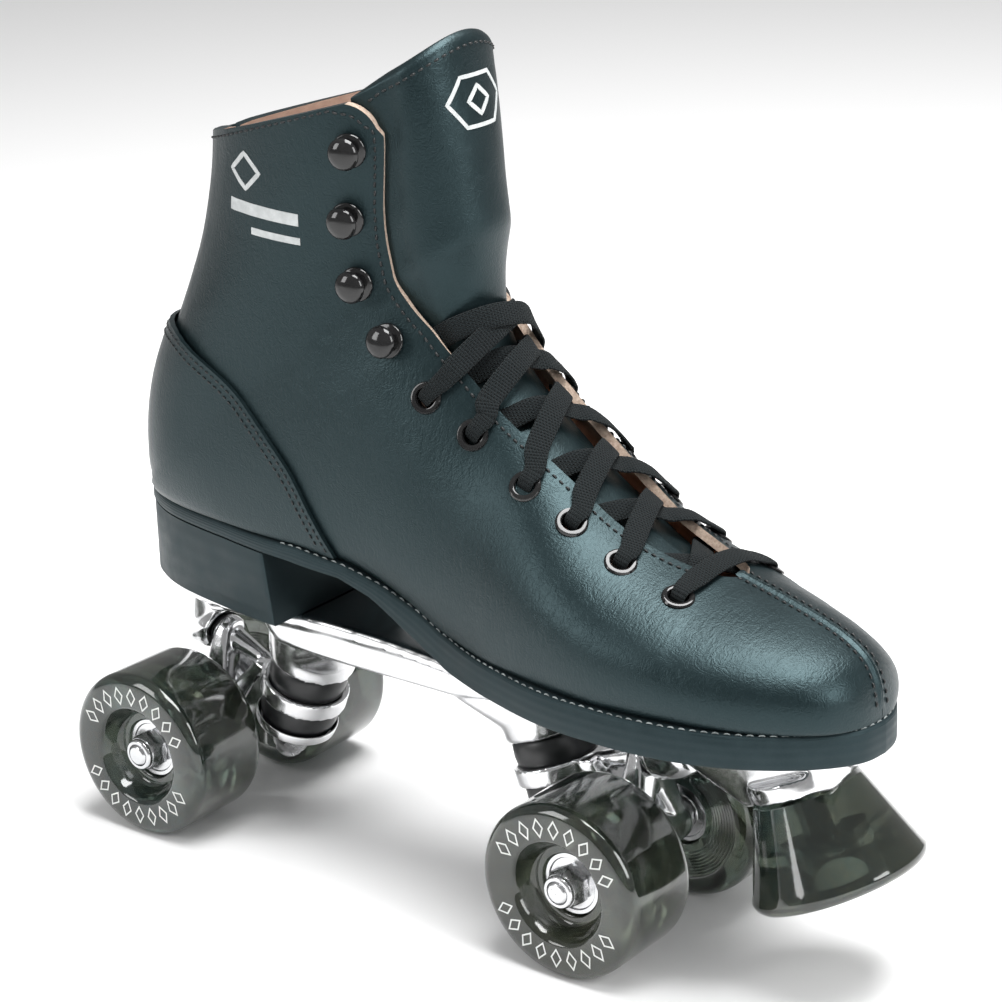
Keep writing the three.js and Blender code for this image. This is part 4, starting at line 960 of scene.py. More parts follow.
def drawn_slab(name, outline, low, high):
    """A flat plate cut to an outline in plan: a face drawn out by its thickness."""
    n = len(outline)
    slab = mesh_piece(name, [(x, y, low) for x, y in outline], [tuple(range(n))])
    only(slab)
    bpy.ops.object.mode_set(mode="EDIT")
    bpy.ops.mesh.select_all(action="SELECT")
    bpy.ops.mesh.extrude_region_move(TRANSFORM_OT_translate={"value": (0, 0, (high - low) * MM)})
    bpy.ops.mesh.select_all(action="SELECT")
    bpy.ops.mesh.normals_make_consistent(inside=False)
    bpy.ops.object.mode_set(mode="OBJECT")
    return slab


FLANGE = [
    (-108, 8), (-105.5, 14), (-99, 20), (-90, 25), (-62, 28.5), (-48, 27), (-38, 25), (-25, 24), (0, 25),
    (22, 27.5), (40, 30), (60, 34), (84, 36), (108, 35), (128, 30), (146, 24), (168, 20), (178, 16),
    (183, 9),
]
flange_line = [(p.x, p.y) for p in smooth_line(FLANGE, 3)]
flange = drawn_slab(
    "flange", [(x, -w) for x, w in flange_line] + [(x, w) for x, w in reversed(flange_line)],
    PLATE_TOP - PLATE_T + 0.6, PLATE_TOP
)
BOSS_AT = -12.8
BOSS_R = 15.8
PIVOT_END = 53
STOP_TILT = math.radians(25)
STOP_AXIS = Vector((math.sin(STOP_TILT), 0, -math.cos(STOP_TILT)))
STOP_AT = Vector((AXLE_X + 62.5, 0, SOLE_Z - 24.3))
face_way = Vector((math.cos(STOP_TILT), 0, math.sin(STOP_TILT)))
casting_parts = []
for rear in (False, True):
    boss_foot = RING + DOWN * (BOSS_AT - 0.5)
    head = RING + DOWN * (BOSS_AT - 27)
    casting_parts.append(web(
        disc(boss_foot, BOSS_R, 1, DOWN, rear, 40),
        disc((head.x + 4, 0, PLATE_TOP - 1.2), BOSS_R + 3.4, 1, UP, rear, 40)
    ))
    skirt = [disc((24, y, PLATE_TOP - 9), 2.2, 8.6, UP, rear, 12) for y in (-19.8, 19.8)]
    casting_parts.append(web(disc(RING + DOWN * (BOSS_AT - 5), BOSS_R - 0.6, 1, DOWN, rear, 32), *skirt))
    post = RING + STEER * (PIVOT_END - 3)
    casting_parts.append(web(
        disc((post.x - 0.5, 0, post.z - 6.9), 7.6, 1, UP, rear),
        disc((post.x - 0.5, 0, post.z - 4), 9.2, 1, UP, rear),
        disc((post.x - 0.5, 0, PLATE_TOP - 1), 9.6, 1, UP, rear)
    ))
    casting_parts.append(web(
        disc(RING + STEER * 44, 9.4, 2, STEER, rear), disc(RING + STEER * 54, 9.4, 1, STEER, rear),
        disc(RING + STEER * 57.5, 7.5, 0.8, STEER, rear)
    ))
for y in (-21.4, 21.4):
    rib = [(-54, -2), (-48, -8.2), (-22, -9.2), (26, -9.2), (46, -6.8), (54, -1)]
    casting_parts += [
        web(
            disc((x0, y, PLATE_TOP - PLATE_T + z0 / 2), 1.8, -z0 + 2, UP, False, 12),
            disc((x1, y, PLATE_TOP - PLATE_T + z1 / 2), 1.8, -z1 + 2, UP, False, 12)
        )
        for (x0, z0), (x1, z1) in zip(rib, rib[1:])
    ]
pad = STOP_AT - STOP_AXIS * (GAP + 0.6)
casting_parts.append(disc(pad - STOP_AXIS * 3, 18.2, 6.6, STOP_AXIS, False, 48))
n1, n2 = pad - face_way * 16.8, pad + face_way * 19
casting_parts.append(web(
    disc((AXLE_X + 11, 0, PLATE_TOP - 9), 1, 24, ACROSS_Y), disc(
        (AXLE_X + 11, 0, PLATE_TOP - 15.5), 1, 24, ACROSS_Y
    ),
    disc(n1, 0.8, 24, ACROSS_Y), disc(n2, 0.8, 24, ACROSS_Y), disc(
        (n2.x + 8.4, 0, PLATE_TOP - 4.4), 0.8, 24, ACROSS_Y
    ),
    disc((n2.x + 8.4, 0, PLATE_TOP - 1.4), 0.8, 24, ACROSS_Y),
))
plate = cast("cast_plate", [flange] + casting_parts, 0.85, 12, bright_alloy)
# The flange's top is machined flat, and the bores are drilled last.
skim = block(-300, 300, -100, 100, PLATE_TOP, PLATE_TOP + 30)
modify(plate, "BOOLEAN", object=skim, operation="DIFFERENCE", solver="EXACT")
bpy.data.objects.remove(skim)
for rear in (False, True):
    drill(
        plate, KINGPIN_R + GAP, -1, 26, turned_round(RING + DOWN * BOSS_AT, rear),
        turned_round(-DOWN, rear)
    )
    drill(plate, 7.2 + GAP, 30, PIVOT_END + 2.5, turned_round(RING, rear), turned_round(STEER, rear))
drill(plate, 4.3, -2, 19, STOP_AT, -STOP_AXIS)
smooth(plate, 35)
settle(plate, "boot_and_plate", "polished_alloy", "plate")

for end, x in (("rear", -78), ("front", 74)):
    for hand, y in (("right", -20.5), ("left", 20.5)):
        top = PLATE_TOP - PLATE_T - GAP
        screw = turn(
            "mount_screw_head_" + end + "_" + hand,
            [
                (0, top - 3.2), (2.2, top - 3.1), (3.6, top - 2.4), (4.6, top - 1.4), (4.6, top),
                (2.3, top), (2.3, PLATE_TOP + 8), (0, PLATE_TOP + 8)
            ],
            (x / 94 * AXLE_X, y, 0), UP, zinc, 24, 0.15,
        )
        settle(screw, "boot_and_plate", "steel", "mount_screw_" + end + "_" + hand)

# ---- trucks ----
# Each truck is a cast hanger with a ring for the kingpin, a housing for the axle and a pivot
# pin, held between two rubber cushions by a retainer and a nut on the kingpin.
axle_low, axle_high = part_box("axle_front")
FACE_Y = (axle_high[1] - axle_low[1]) / 2 / MM + 0.5
WHEEL_W = 35
INNER_INSET = 2
AXLE_R = 3.9
RING_R = 16.2
RING_T = 6.6
CUSHION_R = 14.2
cushion_rubber = finish(
    "cushion_rubber", (0.006, 0.007, 0.0075), (0.012, 0.013, 0.014), 90.0, 0.28, 0.42, depth=0.0001
)
black_plastic = finish("moulded_black", (0.012, 0.012, 0.013), (0.02, 0.02, 0.021), 90.0, 0.4, 0.55)
for end, rear in (("front", False), ("rear", True)):
    truck = end + "_truck"
    ring_at = turned_round(RING, rear)
    down = turned_round(DOWN, rear)
    steer = turned_round(STEER, rear)
    axle = turned_round((AXLE_X, 0, AXLE_Z), rear)
    pin_from = RING + STEER * 40.5
    parts = [
        disc(RING, RING_R, RING_T, DOWN, rear, 48),
        web(
            disc(pin_from - STEER * 2, 7, 4, STEER, rear),
            disc((AXLE_X, -13.5, AXLE_Z), 6.8, 3, ACROSS_Y, rear)
        ),
        web(
            disc(pin_from - STEER * 2, 7, 4, STEER, rear),
            disc((AXLE_X, 13.5, AXLE_Z), 6.8, 3, ACROSS_Y, rear)
        ),
        web(
            disc(RING + STEER * 18, 2.2, 15, ACROSS_Y, rear),
            disc((AXLE_X, 0, AXLE_Z), 5.2, 16, ACROSS_Y, rear)
        ),
        web(
            disc(RING + STEER * 9, 8, RING_T - 2.2, DOWN, rear),
            disc(RING + STEER * 18, 2.4, 15, ACROSS_Y, rear)
        ),
        web(
            disc(RING + STEER * 17, 2.4, 5, STEER, rear),
            disc(pin_from - STEER * 2, 4.5, 4, STEER, rear)
        ),
        disc((AXLE_X, 0, AXLE_Z), 8, 32, ACROSS_Y, rear),
    ]
    hanger = cast("hanger_casting_" + end, parts, 0.62, 9, bright_alloy)
    end_y = FACE_Y - WHEEL_W + INNER_INSET - GAP
    tube = turn(
        "axle_housing", [
            (0, -end_y), (5.5, -end_y), (5.5, 2 - end_y), (7.6, 3 - end_y), (8.2, 0), (7.6, end_y - 3),
            (5.5, end_y - 2), (5.5, end_y), (0, end_y)
        ],
        axle, ACROSS_Y, bright_alloy, 48, 0.4,
    )
    tooth = turn(
        "pivot_pin", [(0, 0), (6.8, 0), (4.7, 3), (4.5, 10.5), (3.2, 12), (0, 12)],
        turned_round(pin_from, rear), steer, bright_alloy, 40, 0.3
    )
    for extra in (tube, tooth):
        modify(hanger, "BOOLEAN", object=extra, operation="UNION", solver="EXACT")
        bpy.data.objects.remove(extra)
    seat = RING_T / 2 - 1.2
    for way in (down, -down):
        drill(hanger, CUSHION_R + 0.5, seat, 30, ring_at, way)
    drill(hanger, 7.2, -20, 20, ring_at, down)
    drill(hanger, AXLE_R + GAP + 0.05, -60, 60, axle, ACROSS_Y)
    smooth(hanger, 35)
    settle(hanger, truck, "polished_alloy", "hanger_" + end)

    rod = turn(
        "axle_rod_" + end, [
            (0, 0.5 - FACE_Y), (3.1, 0.5 - FACE_Y), (AXLE_R, 1.3 - FACE_Y), (AXLE_R, FACE_Y - 1.3),
            (3.1, FACE_Y - 0.5), (0, FACE_Y - 0.5)
        ],
        axle, ACROSS_Y, zinc, 40, 0.15,
    )
    settle(rod, truck, "steel", "axle_" + end)
    cup = turn(
        "pivot_cup_liner_" + end,
        [
            (0, PIVOT_END + 2.2), (7.2, PIVOT_END + 2.2), (7.2, 43.6), (5.2, 43.6), (5.2, PIVOT_END),
            (0, PIVOT_END)
        ],
        ring_at, steer, black_plastic, 40, 0.2,
    )
    settle(cup, "boot_and_plate", "black_plastic", "pivot_cup_" + end)

    low = seat + GAP
    high = -BOSS_AT - GAP
    bore = KINGPIN_R + GAP
    retain = 11.4
    upper = turn(
        "upper_cushion_" + end,
        [
            (bore, low), (CUSHION_R - 0.9, low), (CUSHION_R - 0.1, low + 1.2),
            (CUSHION_R + 0.25, (low + high) / 2), (CUSHION_R - 0.1, high - 1.2),
            (CUSHION_R - 0.9, high), (bore, high), (bore, low)
        ],
        ring_at, -down, cushion_rubber, 56, 0.3,
    )
    lower = turn(
        "lower_cushion_" + end,
        [
            (bore, low), (CUSHION_R - 0.9, low), (CUSHION_R - 0.1, low + 1.2),
            (CUSHION_R + 0.1, retain - 2), (CUSHION_R - 1.2, retain + 2.6),
            (CUSHION_R - 2, retain + 3.6), (bore, retain + 3.6), (bore, low)
        ],
        ring_at, down, cushion_rubber, 56, 0.3,
    )
    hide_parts("cushion_upper_" + end)
    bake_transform(upper)
    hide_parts("cushion_lower_" + end)
    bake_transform(lower)
    dish = turn(
        "cushion_retainer_" + end,
        [(bore, retain + 3.9), (CUSHION_R - 1.6, retain + 3.9), (CUSHION_R - 0.8, retain + 3.1),
         (CUSHION_R + 0.35, retain + 0.6), (CUSHION_R + 0.7, retain + 0.3),
         (CUSHION_R + 1.05, retain + 0.6), (CUSHION_R + 0.7, retain + 3.8),
         (CUSHION_R - 1.4, retain + 5.6), (8.6, retain + 5.6), (bore, retain + 5.6),
         (bore, retain + 3.9)],
        ring_at, down, plated, 64, 0.2,
    )
    settle(dish, "boot_and_plate", "chrome_plate", "retainer_" + end)
    pin = turn(
        "kingpin_rod_" + end, [(0, BOSS_AT - 24), (KINGPIN_R, BOSS_AT - 24), (KINGPIN_R, retain + 13.2)]
        + [
            (KINGPIN_R - (0.5 if k % 2 else 0), retain + 13.2 + k * 0.5) for k in range(1, 9)
        ] + [(KINGPIN_R - 1, retain + 18.4), (0, retain + 18.4)],
        ring_at, down, zinc, 40, 0,
    )
    settle(pin, "boot_and_plate", "steel", "kingpin_" + end)


def nut(name, across, height, collar, foot, axis, hole):
    """A hexagon nut: a six-sided slug, its corners chamfered, with a round collar and a bore."""
    nothing_selected()
    bpy.ops.mesh.primitive_cylinder_add(
        vertices=6, radius=across / math.sqrt(3) * MM, depth=height * MM,
        location=(0, 0, height / 2 * MM)
    )
    body = bpy.context.object
    body.name = name
    bpy.ops.object.transform_apply(location=True, rotation=False, scale=False)
    bpy.ops.mesh.primitive_cone_add(
        vertices=48, radius1=(across / 2 + 1.9) * MM, radius2=(across / 2 - 0.6) * MM,
        depth=(height + 0.01) * MM, location=(0, 0, height / 2 * MM)
    )
    cone = bpy.context.object
    modify(body, "BOOLEAN", object=cone, operation="INTERSECT", solver="EXACT")
    bpy.data.objects.remove(cone)
    for face in body.data.polygons:
        face.use_smooth = False
    lay_down(body, foot, axis)
    ring = turn("collar", collar, foot, axis, zinc, 40, 0.2)
    modify(body, "BOOLEAN", object=ring, operation="UNION", solver="EXACT")
    bpy.data.objects.remove(ring)
    drill(body, hole, -5, height + 14, foot, axis, 32)
    modify(body, "BEVEL", width=0.12 * MM, segments=2, limit_method="ANGLE", angle_limit=math.radians(32))
    body.data.materials.clear()
    body.data.materials.append(zinc)
    smooth(body, 30)
    return body


for end, rear in (("front", False), ("rear", True)):
    king_nut = nut(
        "kingpin_lock_nut_" + end, 14.5, 7, [(0, 6.5), (6.6, 6.5), (6.4, 8.2), (5.6, 9), (0, 9)],
        turned_round(RING + DOWN * (11.4 + 5.9), rear), turned_round(DOWN, rear), KINGPIN_R + GAP,
    )
    settle(king_nut, "boot_and_plate", "steel", "kingpin_nut_" + end)

# ---- wheels, bearings and axle nuts ----
# Cast urethane wheels, smoky and slightly see-through, dished on the outside round a shielded
# ball bearing; the inner side carries fine turned rings. A print of plain lozenges runs
# round the dish. A lock nut holds each wheel on the axle.
WHEEL_R = AXLE_Z
BEARING_R = 11
BEARING_W = 7
OUTER_INSET = 9.5
smoky = finish(
    "smoky_urethane", (0.022, 0.045, 0.046), (0.075, 0.08, 0.052), 22.0, 0.05, 0.12, depth=0.00005
)
bsdf = smoky.node_tree.nodes["Principled BSDF"]
bsdf.inputs["Transmission Weight"].default_value = 0.8
bsdf.inputs["IOR"].default_value = 1.5
bsdf.inputs["Coat Weight"].default_value = 0.5
bsdf.inputs["Coat Roughness"].default_value = 0.06
ink = finish("white_print", (0.62, 0.64, 0.62), (0.7, 0.71, 0.69), 200.0, 0.4, 0.55)
shield_steel = polished("bearing_steel", (0.6, 0.61, 0.62), (0.72, 0.72, 0.73), 0.14, 0.28, 0.00005)
b0, b1 = OUTER_INSET, WHEEL_W - INNER_INSET
seat_r = BEARING_R + GAP
round_edge = [
    (WHEEL_R - 4.5 + 4.5 * math.sin(a), 4.5 - 4.5 * math.cos(a))
    for a in (0, 0.26, 0.52, 0.79, 1.05, 1.31, 1.57)
]
rings = [(23.5 - k * 0.55, WHEEL_W - (0.35 if k % 2 else 0)) for k in range(19)]
wheel_steps = (
    [(17.9, 0.7), (18.5, 0.25), (19.2, 0)] + round_edge + [
        (r, WHEEL_W - h) for r, h in reversed(round_edge)
    ] + rings
    + [(seat_r, WHEEL_W), (seat_r, b1 - BEARING_W - GAP), (seat_r - 2.4, b1 - BEARING_W - GAP),
    (seat_r - 2.4, b0 + BEARING_W + GAP), (seat_r, b0 + BEARING_W + GAP),
       (seat_r, b0 - 1.2), (seat_r + 0.8, b0 - 1.6), (13.8, 8.2), (14.6, 7.6), (15.4, 6), (17.2, 2),
       (17.9, 0.7)]
)
shield = [
    (4.2, 0), (5.9, 0), (6.1, 0.35), (6.4, 0.55), (9, 0.55), (9.2, 0.35), (9.4, 0),
    (BEARING_R - 0.35, 0), (BEARING_R, 0.35),
    (BEARING_R, BEARING_W - 0.35), (BEARING_R - 0.35, BEARING_W), (4.2, BEARING_W), (4.2, 0),
]


def lozenges(name, centre, side):
    """Two arcs of small open lozenges, printed on the flat ring outside the dish."""
    stamps = []
    for arc in (0, 1):
        for k in range(9):
            a = math.radians(28 + arc * 180 + k * 15.5)
            nothing_selected()
            bpy.ops.mesh.primitive_circle_add(
                vertices=4, radius=3.1 * MM, fill_type="NGON", location=(0, 0, 0)
            )
            stamp = bpy.context.object
            stamp.scale = (0.72, 1.15, 1)
            bpy.ops.object.transform_apply(location=False, rotation=False, scale=True)
            bpy.ops.object.mode_set(mode="EDIT")
            bpy.ops.mesh.select_all(action="SELECT")
            bpy.ops.mesh.inset(thickness=0.5 * MM)
            bpy.ops.mesh.delete(type="FACE")
            bpy.ops.mesh.select_all(action="SELECT")
            bpy.ops.mesh.extrude_region_move(TRANSFORM_OT_translate={"value": (0, 0, 0.1 * MM)})
            bpy.ops.object.mode_set(mode="OBJECT")
            turn_in = Matrix.Rotation(math.radians(90) * (1 if side < 0 else -1), 4, "X")
            spot_at = centre + Vector((23.2 * math.cos(a), 0, 23.2 * math.sin(a)))
            stamp.matrix_world = Matrix.Translation(middle + spot_at * MM) @ Matrix.Rotation(
                -a + math.radians(90), 4, "Y"
            ) @ turn_in
            only(stamp)
            bpy.ops.object.transform_apply(location=True, rotation=True, scale=True)
            stamps.append(stamp)
    print_ring = joined(stamps, name)
    outwards(print_ring)
    print_ring.data.materials.append(ink)
    return print_ring


for end, rear in (("front", False), ("rear", True)):
    for hand, side in (("right", -1), ("left", 1)):
        tag = end + "_" + hand
        body = "wheel_" + tag + "_body"
        centre = turned_round((AXLE_X, 0, AXLE_Z), rear)
        face = Vector((centre.x, side * FACE_Y, centre.z))
        inward = Vector((0, -side, 0))
        wheel = turn("wheel_tyre_" + tag, wheel_steps, face, inward, smoky, 96, 0)
        settle(wheel, body, "urethane", "wheel_" + tag)
        for which, h in (("outer", b0), ("inner", b1)):
            way = inward if which == "outer" else -inward
            race = turn(
                "ball_bearing_" + which + "_" + tag, shield, face + inward * h, way, shield_steel, 56, 0
            )
            settle(race, body, "steel", "bearing_" + which + "_" + tag)
        marks = lozenges("wheel_print_" + tag, face + Vector((0, side * 0.02, 0)), side)
        settle(marks, body, "urethane")
        out = Vector((0, side, 0))
        lock = nut(
            "axle_lock_nut_" + tag, 13, 6.2, [(0, 5.5), (5.8, 5.5), (5.8, 7.2), (5.2, 8), (0, 8)],
            face - out * (b0 - GAP), out, AXLE_R + GAP
        )
        settle(lock, end + "_truck", "steel", "axle_nut_" + tag)

# ---- front stop ----
# A flared urethane stop on a bolt with a washer, screwed up into the plate's nose.
STOP_TOP_R, STOP_BOTTOM_R, STOP_LENGTH = 18.9, 29.9, 33.3
deep = STOP_LENGTH - 16
stop = turn(
    "stop_flare",
    [(4.4, 0.4), (4.8, 0), (STOP_TOP_R - 1.2, 0), (STOP_TOP_R - 0.3, 0.35), (STOP_TOP_R, 1.2),
     (STOP_BOTTOM_R - 1.5, STOP_LENGTH - 7), (STOP_BOTTOM_R - 0.2, STOP_LENGTH - 4.4),
     (STOP_BOTTOM_R, STOP_LENGTH - 3.4), (
         STOP_BOTTOM_R - 0.5, STOP_LENGTH - 1.8
     ), (STOP_BOTTOM_R - 1.6, STOP_LENGTH - 0.6), (STOP_BOTTOM_R - 3.4, STOP_LENGTH), (10.6, STOP_LENGTH),
     (10, STOP_LENGTH - 0.6), (10, deep), (4.4, deep), (4.4, 0.4)],
    STOP_AT, STOP_AXIS, smoky, 96, 0,
)
settle(stop, "boot_and_plate", "urethane", "toe_stop")
bolt = turn(
    "stop_bolt_shank", [(0, -17), (3.2, -17), (4, -16), (4, STOP_LENGTH - 12), (0, STOP_LENGTH - 12)],
    STOP_AT, STOP_AXIS, zinc, 32, 0.15
)
head = nut(
    "stop_bolt_head", 13, 5.3, [(0, 1), (4.5, 1), (4.5, 4.9), (0, 4.9)],
    STOP_AT + STOP_AXIS * (deep + 2.2), STOP_AXIS, 0.05
)
modify(bolt, "BOOLEAN", object=head, operation="UNION", solver="EXACT")
bpy.data.objects.remove(head)
bolt.data.materials.clear()
bolt.data.materials.append(zinc)
smooth(bolt, 30)
settle(bolt, "boot_and_plate", "steel", "toe_stop_bolt")
washer = turn(
    "stop_washer",
    [
        (4.3, deep + GAP), (9.3, deep + GAP), (9.5, deep + GAP + 0.2), (9.5, deep + GAP + 1.4),
        (9.3, deep + GAP + 1.6), (4.3, deep + GAP + 1.6), (4.3, deep + GAP)
    ],
    STOP_AT, STOP_AXIS, zinc, 40, 0
)
settle(washer, "boot_and_plate", "steel", "toe_stop_washer")

# ---- hooks and eyelets ----
# Four black enamelled hooks up each side of the shaft, and six rolled eyelets a side below.
HOOK_UP = [76.5, 94, 116, 139.5]
HOOK_W = [26.8, 26.9, 28.2, 29.4]
enamel = finish("black_enamel", (0.006, 0.006, 0.0065), (0.012, 0.012, 0.012), 150.0, 0.05, 0.12)
for hand, side in (("right", -1), ("left", 1)):
    for i, w in enumerate(HOOK_W):
        s = station_where(2, SOLE_Z + 32.5 + HOOK_UP[i], w, 14, TOP, side)
        at, n = front_point(s, w, side, 0.5)
        away = (Vector((0, side, 0)) - n * n.y * side).normalized()
        foot = turn(
            "hook_foot", [(0, 0), (5.6, 0), (5.9, 0.3), (5.5, 0.8), (3, 1.2), (2.2, 1.7), (0, 1.8)], at,
            n, enamel, 40, 0.1
        )
        stem = turn(
            "hook_stem", [(0, 1), (2.1, 1), (2.0, 4.4), (0, 4.4)], at + away * 0.4, n, enamel, 24, 0.1
        )
        dome = turn(
            "hook_dome", [
                (0, 3.7), (4.4, 3.9), (5.3, 4.2), (5.5, 4.6), (5.1, 5.5), (4.1, 6.3), (2.4, 6.9),
                (0, 7.1)
            ],
            at, (n + away * 0.1).normalized(), enamel, 40, 0.1,
        )
        hook = joined([foot, stem, dome], "lace_hook_%s_%d" % (hand, i + 1))
        settle(hook, "boot_and_plate", "black_enamel", "hook_%s_%d" % (hand, i + 1))
    for i, w in enumerate(EYELET_W):
        at, n = front_point(eyelet_s[side][i], w, side)
        ring = turn(
            "rolled_eyelet_%s_%d" % (hand, i + 1),
            [(EYELET_R - 0.25, -LEATHER_T - 0.5), (EYELET_R - 0.25, 0.2), (EYELET_R + 0.05, 0.75),
             (EYELET_R + 0.7, 0.95), (EYELET_R + 1.5, 0.75), (EYELET_R + 1.9, 0.15),
             (EYELET_R + 1.7, 0.02), (EYELET_R - 0.02, 0.02), (EYELET_R - 0.02, -LEATHER_T - 0.5),
             (EYELET_R - 0.25, -LEATHER_T - 0.5)],
            at, n, enamel, 40, 0,
        )
        settle(ring, "boot_and_plate", "black_enamel")

# ---- lace ----
# One flat braided lace. It bars across the lowest pair, crosses up to the sixth, and both
# ends are tucked in behind the facings. Its breadth and depth are given point by point.
LACE_W = 8
LACE_T = 1.2
lace_cord = bpy.data.materials.new("lace_cord")
lace_cord.use_nodes = True
tree = lace_cord.node_tree
bsdf = tree.nodes["Principled BSDF"]
uv = tree.nodes.new("ShaderNodeUVMap").outputs[0]
split = tree.nodes.new("ShaderNodeSeparateXYZ")
tree.links.new(uv, split.inputs[0])
# A plait: two sets of slanting strands, each rounded, one over the other by turns.
across = maths(tree, "MULTIPLY", split.outputs[0], 7.0)
along_it = maths(tree, "MULTIPLY", split.outputs[1], 1.0)
one_way = maths(tree, "FRACT", maths(tree, "ADD", along_it, across))
other_way = maths(tree, "FRACT", maths(tree, "SUBTRACT", along_it, across))
round_one = maths(tree, "SINE", maths(tree, "MULTIPLY", one_way, math.pi))
round_two = maths(tree, "SINE", maths(tree, "MULTIPLY", other_way, math.pi))
plait = maths(tree, "MAXIMUM", round_one, maths(tree, "MULTIPLY", round_two, 0.96))
low_spots = maths(tree, "MINIMUM", round_one, round_two)
fuzz = noise(tree, tree.nodes.new("ShaderNodeTexCoord").outputs["Object"], 2600.0, 2.0)
strands = maths(
    tree, "ADD",
    maths(tree, "SUBTRACT", maths(tree, "MULTIPLY", plait, 1.6), maths(tree, "MULTIPLY", low_spots, 0.5)),
    maths(tree, "MULTIPLY", fuzz, 0.35)
)
# The colour follows the relief as painted shade: darker in the low spots between strands, lighter on
# their crowns, plus random fuzz.
tree.links.new(
    colours(
        tree, maths(tree, "MULTIPLY", strands, 0.6), (0.0012, 0.0016, 0.0018, 1),
        (0.0125, 0.0175, 0.019, 1)
    ),
    bsdf.inputs["Base Color"]
)
bsdf.inputs["Roughness"].default_value = 0.85
bsdf.inputs["Sheen Weight"].default_value = 0.03
bsdf.inputs["Specular IOR Level"].default_value = 0.12
bump(tree, strands, bsdf, 0.0008, 1.0)


def laid(s, y, out, wide=LACE_W / 2, thick=LACE_T, held=False):
    side = -1 if y < 0 else 1
    w = abs(y)
    at, up = front_point(s, w, side, out)
    edge = front_point(s + 0.2, w, side)[0] - front_point(s - 0.2, w, side)[0] if held else None
    return [at, up, edge, wide, thick]


def thread_through(i, side):
    rows = [
        (-4.4, -4.7, 3.4, 1.3), (-0.9, -4.5, 2.8, 1.5), (0.5, -3, 2.6, 1.5), (0.6, -0.6, 2.6, 1.5),
        (-0.9, 1.6, 2.8, 1.5), (-4.4, 1.8, 3.4, 1.3)
    ]
    return [
        laid(eyelet_s[side][i], side * (EYELET_W[i] + y), out, wide, thick, True)
        for y, out, wide, thick in rows
    ]


def crossing(i, side):
    a, b = eyelet_s[side][i], eyelet_s[-side][i - 1]
    wa, wb = throat(a) + 1, throat(b) + 1
    if side < 0:
        rows = [(wa, 1.7), (8, 1.1), (0.1, 0.4), (-8, -0.5), (-12, -2.8), (-wb, -4.8)]
    else:
        rows = [(wa, 1.7), (12, 0.1), (8, -2), (0.1, -2.1), (-8, -3), (-wb, -4.8)]
    return [laid(a + (b - a) * (0.16 + 0.7 * (wa - y) / (wa + wb)), side * y, out) for y, out in rows]


def under(side):
    a, b = eyelet_s[side][5], eyelet_s[-side][4]
    wa, wb = throat(a), throat(b)
    deep = -3.5 if side < 0 else -5.2
    return [
        laid(a + (b - a) * (0.2 + 0.6 * (wa - y) / (wa + wb)), side * y, out)
        for y, out in ((wa, -4.8), (0.1, deep), (-wb, -4.8))
    ]


def tail(side):
    a = eyelet_s[side][0]
    g = throat(a) + 1
    rise = 1.6 if side > 0 else 1.3
    if side > 0:
        rows = [(g, 1.8), (8, 2.6), (0.1, 2.4), (-8, 1.6), (-g + 4, -1.2), (-g, -4.4), (-g - 4, -4.8)]
    else:
        rows = [(g, 1.8), (8, 0.9), (0.1, 0.2), (-8, -0.6), (-g + 4, -2.4), (-g, -4.4), (-g - 4, -4.8)]
    return [laid(a + 0.1 + rise * (g - y) / (2 * g), side * y, out) for y, out in rows]


def bar():
    a, b = eyelet_s[-1][5], eyelet_s[1][5]
    return [laid(a + (b - a) * (y + 1) / 2, y * 17, 1.9 - 0.3 * abs(y)) for y in (-1, -0.4, 0.4, 1)]


way = list(reversed(tail(1)))
turn_side = 1
for i in range(5):
    way += reversed(thread_through(i, turn_side))
    way += reversed(crossing(i + 1, -turn_side) if i < 4 else under(-turn_side))
    turn_side = -turn_side
way += thread_through(5, -1) + bar() + list(reversed(thread_through(5, 1))) + under(1)
for i in range(4, -1, -1):
    way += thread_through(i, turn_side) + (crossing(i, turn_side) if i > 0 else tail(turn_side))
    turn_side = -turn_side

